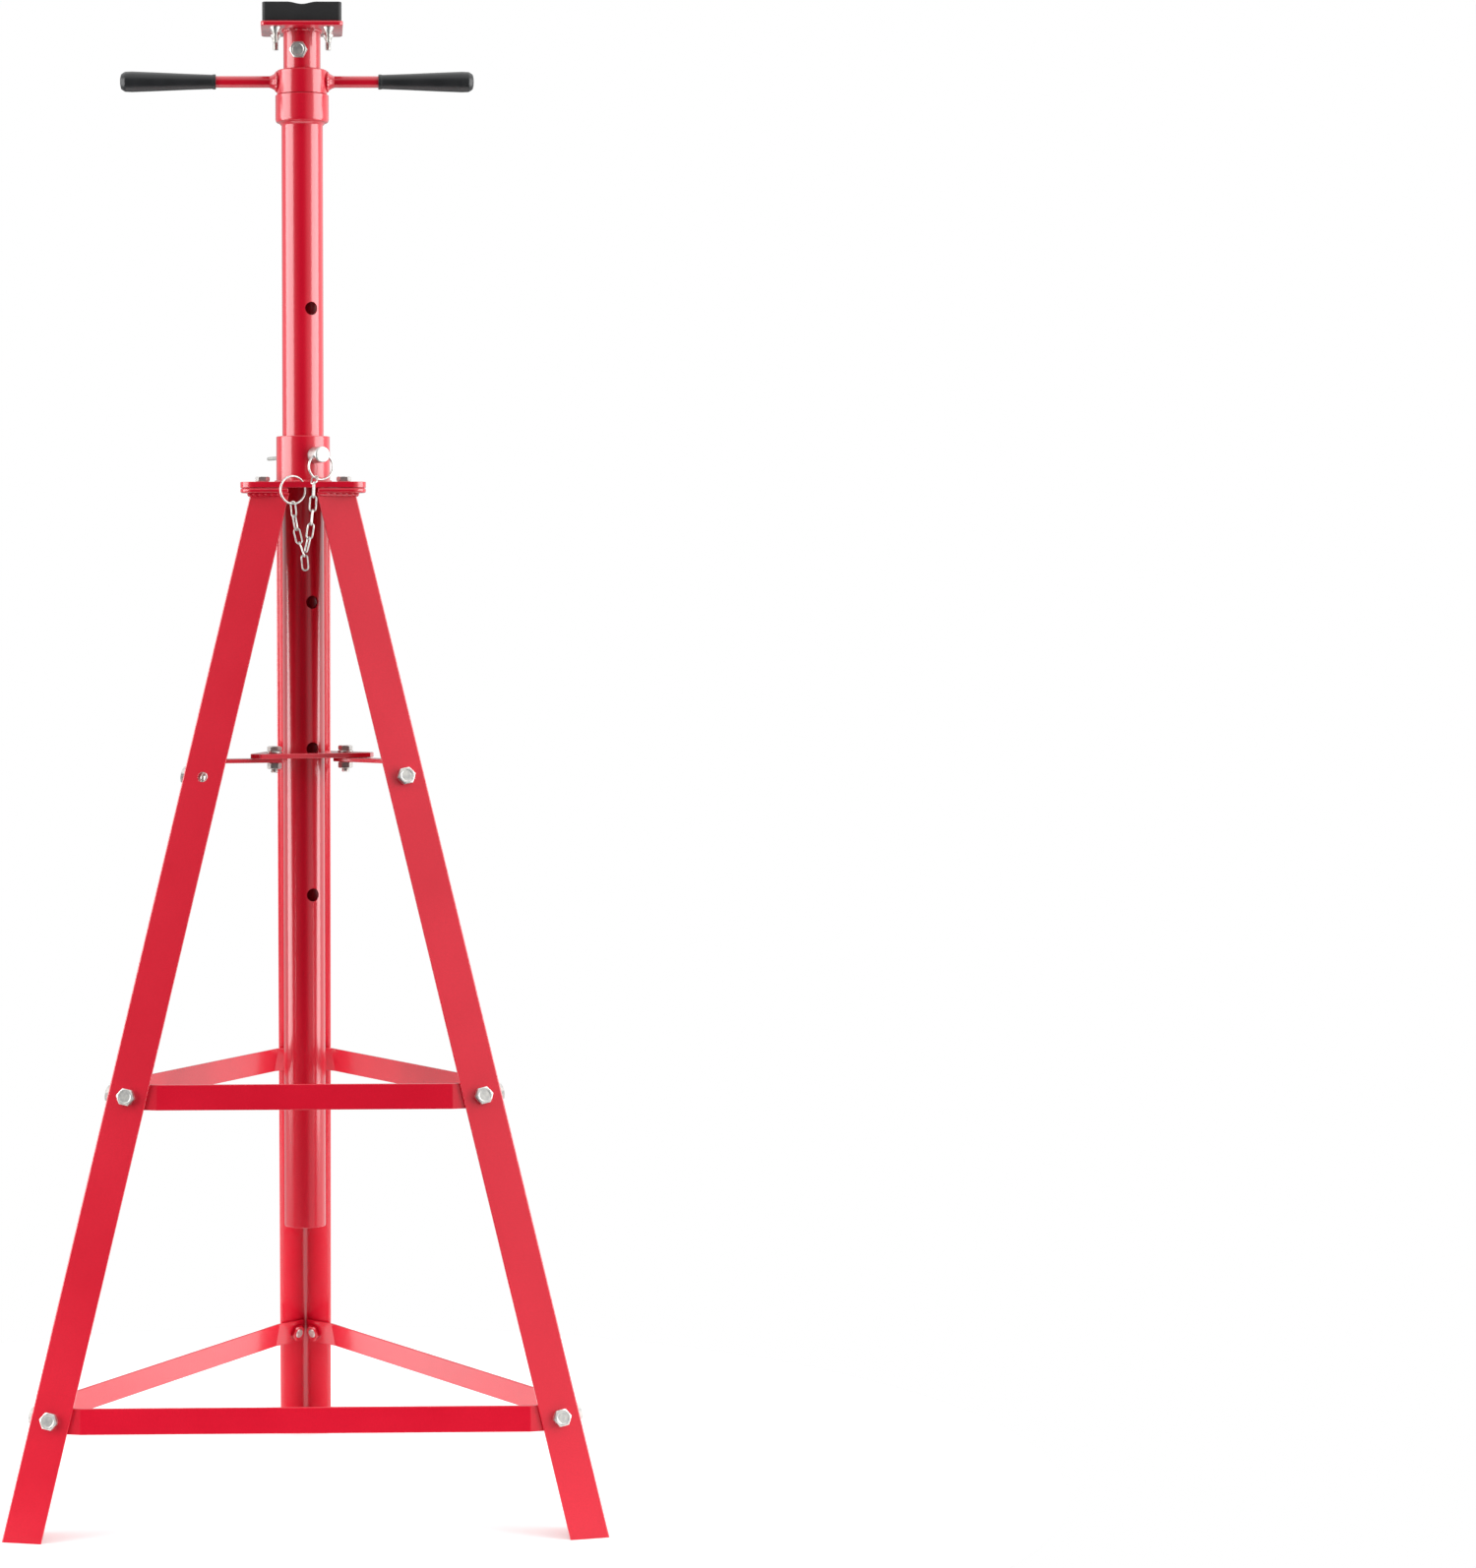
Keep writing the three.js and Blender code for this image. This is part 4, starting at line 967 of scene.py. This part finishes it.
place("saddle_sleeve", ready(revolve(sleeve, 96, closed=True), RED), MAST_AXIS, "lift_screw",
      "red_paint", "saddle")
sleeve_ring = arc((0, 0), SLEEVE_RADIUS + 0.3, 0, 355, 71)
sleeve_seam = [(*point, tray_bottom - 0.7) for point in sleeve_ring]
saddle_weld_mesh = ready(weld(sleeve_seam, SLEEVE_BEAD, SLEEVE_POOLS, closed=True), RED)
place("saddle_weld", saddle_weld_mesh, MAST_AXIS, "lift_screw", "red_paint")

cross = MAST_AXIS @ Matrix.Translation((0, 0, BOLT_HEIGHT * MM))
cross = cross @ Matrix.Rotation(radians(BOLT_AZIMUTH), 4, "Z") @ Matrix.Rotation(pi / 2, 4, "Y")
head_at = cross @ Matrix.Translation((0, 0, SLEEVE_RADIUS * MM))
place("saddle_bolt", bolt(M10, length=48, threaded=16), head_at, "lift_screw", "zinc_plate",
      "saddle_bolt")
saddle_nut_mesh = nut(M10, M10["nut"], -SLEEVE_RADIUS - GAP - M10["nut"])
place("saddle_nut", saddle_nut_mesh, cross, "lift_screw", "zinc_plate", "saddle_nut")


# ---- Saddle pad -------------------------------------------------------------
# One block of black moulded rubber: a high flat land in front that falls in a
# soft S to a low one behind, with a shallow channel across its high edge.

PAD_CORNER, PAD_EDGE, PAD_FOOT = 3.8, 0.9, 0.8
PAD_RINGS, SIDE_CUTS = 30, 40       # rows of points from side to middle, and along a side
PAD_FALL, LAND, LAND_FALL = 10.4, 24, 1.6
CHANNEL_HALF, CHANNEL_DEPTH = 15, 2.3

pad_low, pad_high = span("saddle_pad")
pad_half = pad_high.x
land_edge = pad_half - LAND


def pad_height(x, y):
    """The pad's top: the S runs between the two lands, and the channel is cut into it."""
    share = min(max((y + land_edge) / (2 * land_edge), 0), 1)
    fall = share * share * (3 - 2 * share) * (PAD_FALL - LAND_FALL)
    fall += LAND_FALL * max(y - land_edge, 0) / LAND
    height = pad_high.z - fall
    if abs(x) < CHANNEL_HALF:
        height = min(height, pad_high.z - CHANNEL_DEPTH * cos(pi / 2 * x / CHANNEL_HALF) ** 2)
    return height


def pad_loop(inset):
    """The pad's outline some way in from its side, with points all along each edge."""
    outline, loop = rounded_square(pad_half - inset, PAD_CORNER - inset), []
    for here, there in zip(outline, outline[1:] + outline[:1]):
        here, there = Vector(here), Vector(there)
        cuts = SIDE_CUTS if (there - here).length > pad_half / 2 else 1
        loop += [tuple(here.lerp(there, cut / cuts)) for cut in range(cuts)]
    return loop


# Moulded rubber: matt, with a fine grain and a little grey bloom.
RUBBER, shader, noise = new_finish("moulded_rubber")
bloom = noise(70.0, 5.0)
shade(shader, bloom, (0.0055, 0.0055, 0.006), (0.0135, 0.0135, 0.0145))
dull(shader, bloom, 0.5, 0.68)
grain(shader, noise(1500.0, 2.0), 0.35, 0.0002)

pad_loops = [
    [(x, y, pad_low.z) for x, y in pad_loop(PAD_FOOT)],
    [(x, y, pad_low.z + PAD_FOOT) for x, y in pad_loop(0)],
]
for step in range(6):
    roll = step / 5 * pi / 2
    sunk = PAD_EDGE * (1 - sin(roll))
    inset = PAD_EDGE * (1 - cos(roll))
    pad_loops.append([(x, y, pad_height(x, y) - sunk) for x, y in pad_loop(inset)])
for ring in range(1, PAD_RINGS):
    share = 1 - ring / PAD_RINGS
    pad_loops.append([(x * share, y * share, pad_height(x * share, y * share))
                      for x, y in pad_loop(PAD_EDGE)])
place("saddle_pad", ready(stacked(pad_loops), RUBBER, 60), MAST_AXIS, "lift_screw", "pad_rubber",
      "saddle_pad")


# ---- Pad studs --------------------------------------------------------------
# Four M6 studs are moulded into the pad and come down through the tray. A
# coned nut, drawn up under the tray, holds each one.

STUD_CREST, STUD_ROOT, STUD_PITCH = 2.9, 2.35, 1.0
CONE_NUT = [(5.6, 0.0), (5.6, 0.9), (4.6, 2.6), (3.7, 4.6), (3.2, 5.4)]
CONE_BORE, CONE_GAP = 3.0, 0.1

stud_form = [(0.0, STUD_CREST), (0.18, STUD_CREST), (0.5, STUD_ROOT), (0.68, STUD_ROOT)]
stud_low, stud_high = span("pad_stud_front_left")
stud = threaded_bar(stud_low.z, stud_high.z - stud_low.z, STUD_PITCH, stud_form, 28)
stud_mesh = ready(stud, ZINC, 24)
under_tray = tray_bottom - CONE_GAP
cone = [(CONE_BORE, under_tray)] + [(radius, under_tray - drop) for radius, drop in CONE_NUT]
cone_mesh = ready(revolve([*cone, (CONE_BORE, cone[-1][1])], 40, closed=True), ZINC)
for where in ("front_left", "front_right", "rear_left", "rear_right"):
    low, high = span(f"pad_stud_{where}")
    at = MAST_AXIS @ Matrix.Translation(((low.x + high.x) / 2 * MM, (low.y + high.y) / 2 * MM, 0))
    place(f"pad_stud_{where}", stud_mesh, at, "lift_screw", "zinc_plate", f"pad_stud_{where}")
    place(f"pad_nut_{where}", cone_mesh, at, "lift_screw", "zinc_plate")


# ---- Locking pin ------------------------------------------------------------
# One turned bar, zinc plated: a thick head that stops at the collar, a shank
# through the collar and the mast, and a thin spigot left on its nose.

PIN_RADIUS, PIN_HEAD_RADIUS, PIN_HEAD_END, PIN_TAIL = 6.25, 8.25, 46, 84
PULL_OUT, PULL_RING_HEIGHT, PULL_RING_RADIUS = 41.5, 1063.9, 13.4
SPIGOT_RADIUS = 2
RING_WIRE = 1.1
ANCHOR_RING_RADIUS, ANCHOR_RING_TURN = 14, 27
ANCHOR_RING_AT = (-10.5, -43, 1040)

pin_profile = soften([
    (0, -PIN_TAIL), (1.9, -PIN_TAIL), (SPIGOT_RADIUS, -PIN_TAIL + 4), (SPIGOT_RADIUS, -40),
    (3.6, -39), (PIN_RADIUS, -35), (PIN_RADIUS, COLLAR_RADIUS + GAP),
    (PIN_HEAD_RADIUS, COLLAR_RADIUS + GAP),
    (PIN_HEAD_RADIUS, PIN_HEAD_END), (0, PIN_HEAD_END),
], [0, 0.8, 0.4, 0.4, 0.4, 0.8, 0, 0.6, 1.6, 0], closed=False)
pin = across_mast(revolve(pin_profile, 64), PIN_HEIGHT)
place("locking_pin", ready(pin, ZINC), MAST_AXIS, "locking_pin", "zinc_plate", "locking_pin",
      "locking_pin_nose")


def wire_ring(radius, wire, azimuth, centre):
    """A closed ring of round wire that stands upright, its plane turned to the azimuth."""
    loop = [(radius * cos(a), 0, radius * sin(a)) for a in (2 * pi * i / 72 for i in range(72))]
    ring = sweep(loop, wire, 14, closed=True)
    ring.transform(Matrix.Rotation(radians(azimuth), 4, "Z"))
    ring.transform(Matrix.Translation(centre))
    return ready(ring, ZINC)


pull_way = radians(PIN_AZIMUTH)
pull_at = (PULL_OUT * cos(pull_way), PULL_OUT * sin(pull_way), PULL_RING_HEIGHT)
pull_ring_mesh = wire_ring(PULL_RING_RADIUS, RING_WIRE, PIN_AZIMUTH + 90, pull_at)
anchor_ring_mesh = wire_ring(ANCHOR_RING_RADIUS, RING_WIRE, ANCHOR_RING_TURN, ANCHOR_RING_AT)
place("pull_ring", pull_ring_mesh, MAST_AXIS, "locking_pin", "zinc_plate", "pull_ring")
place("anchor_ring", anchor_ring_mesh, MAST_AXIS, "stand", "zinc_plate", "anchor_ring")


# ---- Chain ------------------------------------------------------------------
# Welded links of 1.7 mm wire, each turned a quarter from its neighbour. One
# strand hangs from the pull ring and one from the ring in the top plate.

LINK_WIRE, LINK_WIDTH = 0.85, 8
RIGHT_STRAND = [
    (11.9, -39.0, 1053.3), (10.9, -51.4, 1046.8), (10.3, -51.6, 1032.8), (9.4, -51.3, 1018.8),
    (8.0, -50.8, 1004.9), (5.8, -50.1, 991.1), (2.6, -48.8, 977.5),
]
LEFT_STRAND = [
    (-10.5, -43.0, 1027.4), (-9.2, -44.1, 1013.5), (-6.9, -45.4, 999.8), (-3.7, -46.7, 986.2),
    (0.8, -48.0, 973.0), (2.2, -48.2, 959.1),
]
RIGHT_TWISTS = [20, 101, 182, 263, 344, 425]
LEFT_TWISTS = [40, 117, 194, 271, 0]


def link(start, end, twist):
    """One link between the points where its neighbours bear in it."""
    start, end = Vector(start), Vector(end)
    along = (end - start).normalized()
    across = (Vector((1, 0, 0)) - along * along.x).normalized()
    across = Matrix.Rotation(radians(twist), 3, along) @ across
    bend = LINK_WIDTH / 2 - LINK_WIRE
    straight = (end - start).length / 2 + LINK_WIRE - bend
    middle = (start + end) / 2
    loop = []
    for way in (1, -1):
        for i in range(13):
            turn = (0 if way > 0 else pi) + pi * i / 12 - pi / 2
            forward = way * straight + bend * cos(turn)
            loop.append(middle + along * forward + across * bend * sin(turn))
    return sweep(loop, LINK_WIRE, 10, closed=True)


def strand(joints, twists):
    """A run of links as one piece, since a strand swings as a whole."""
    form = bmesh.new()
    for start, end, twist in zip(joints, joints[1:], twists):
        form.from_mesh(link(start, end, twist))
    return ready(as_mesh(form), ZINC)


right_mesh, left_mesh = strand(RIGHT_STRAND, RIGHT_TWISTS), strand(LEFT_STRAND, LEFT_TWISTS)
place("chain_right", right_mesh, MAST_AXIS, "chain_right", "zinc_plate", "chain_right")
place("chain_left", left_mesh, MAST_AXIS, "chain_left", "zinc_plate", "chain_left")
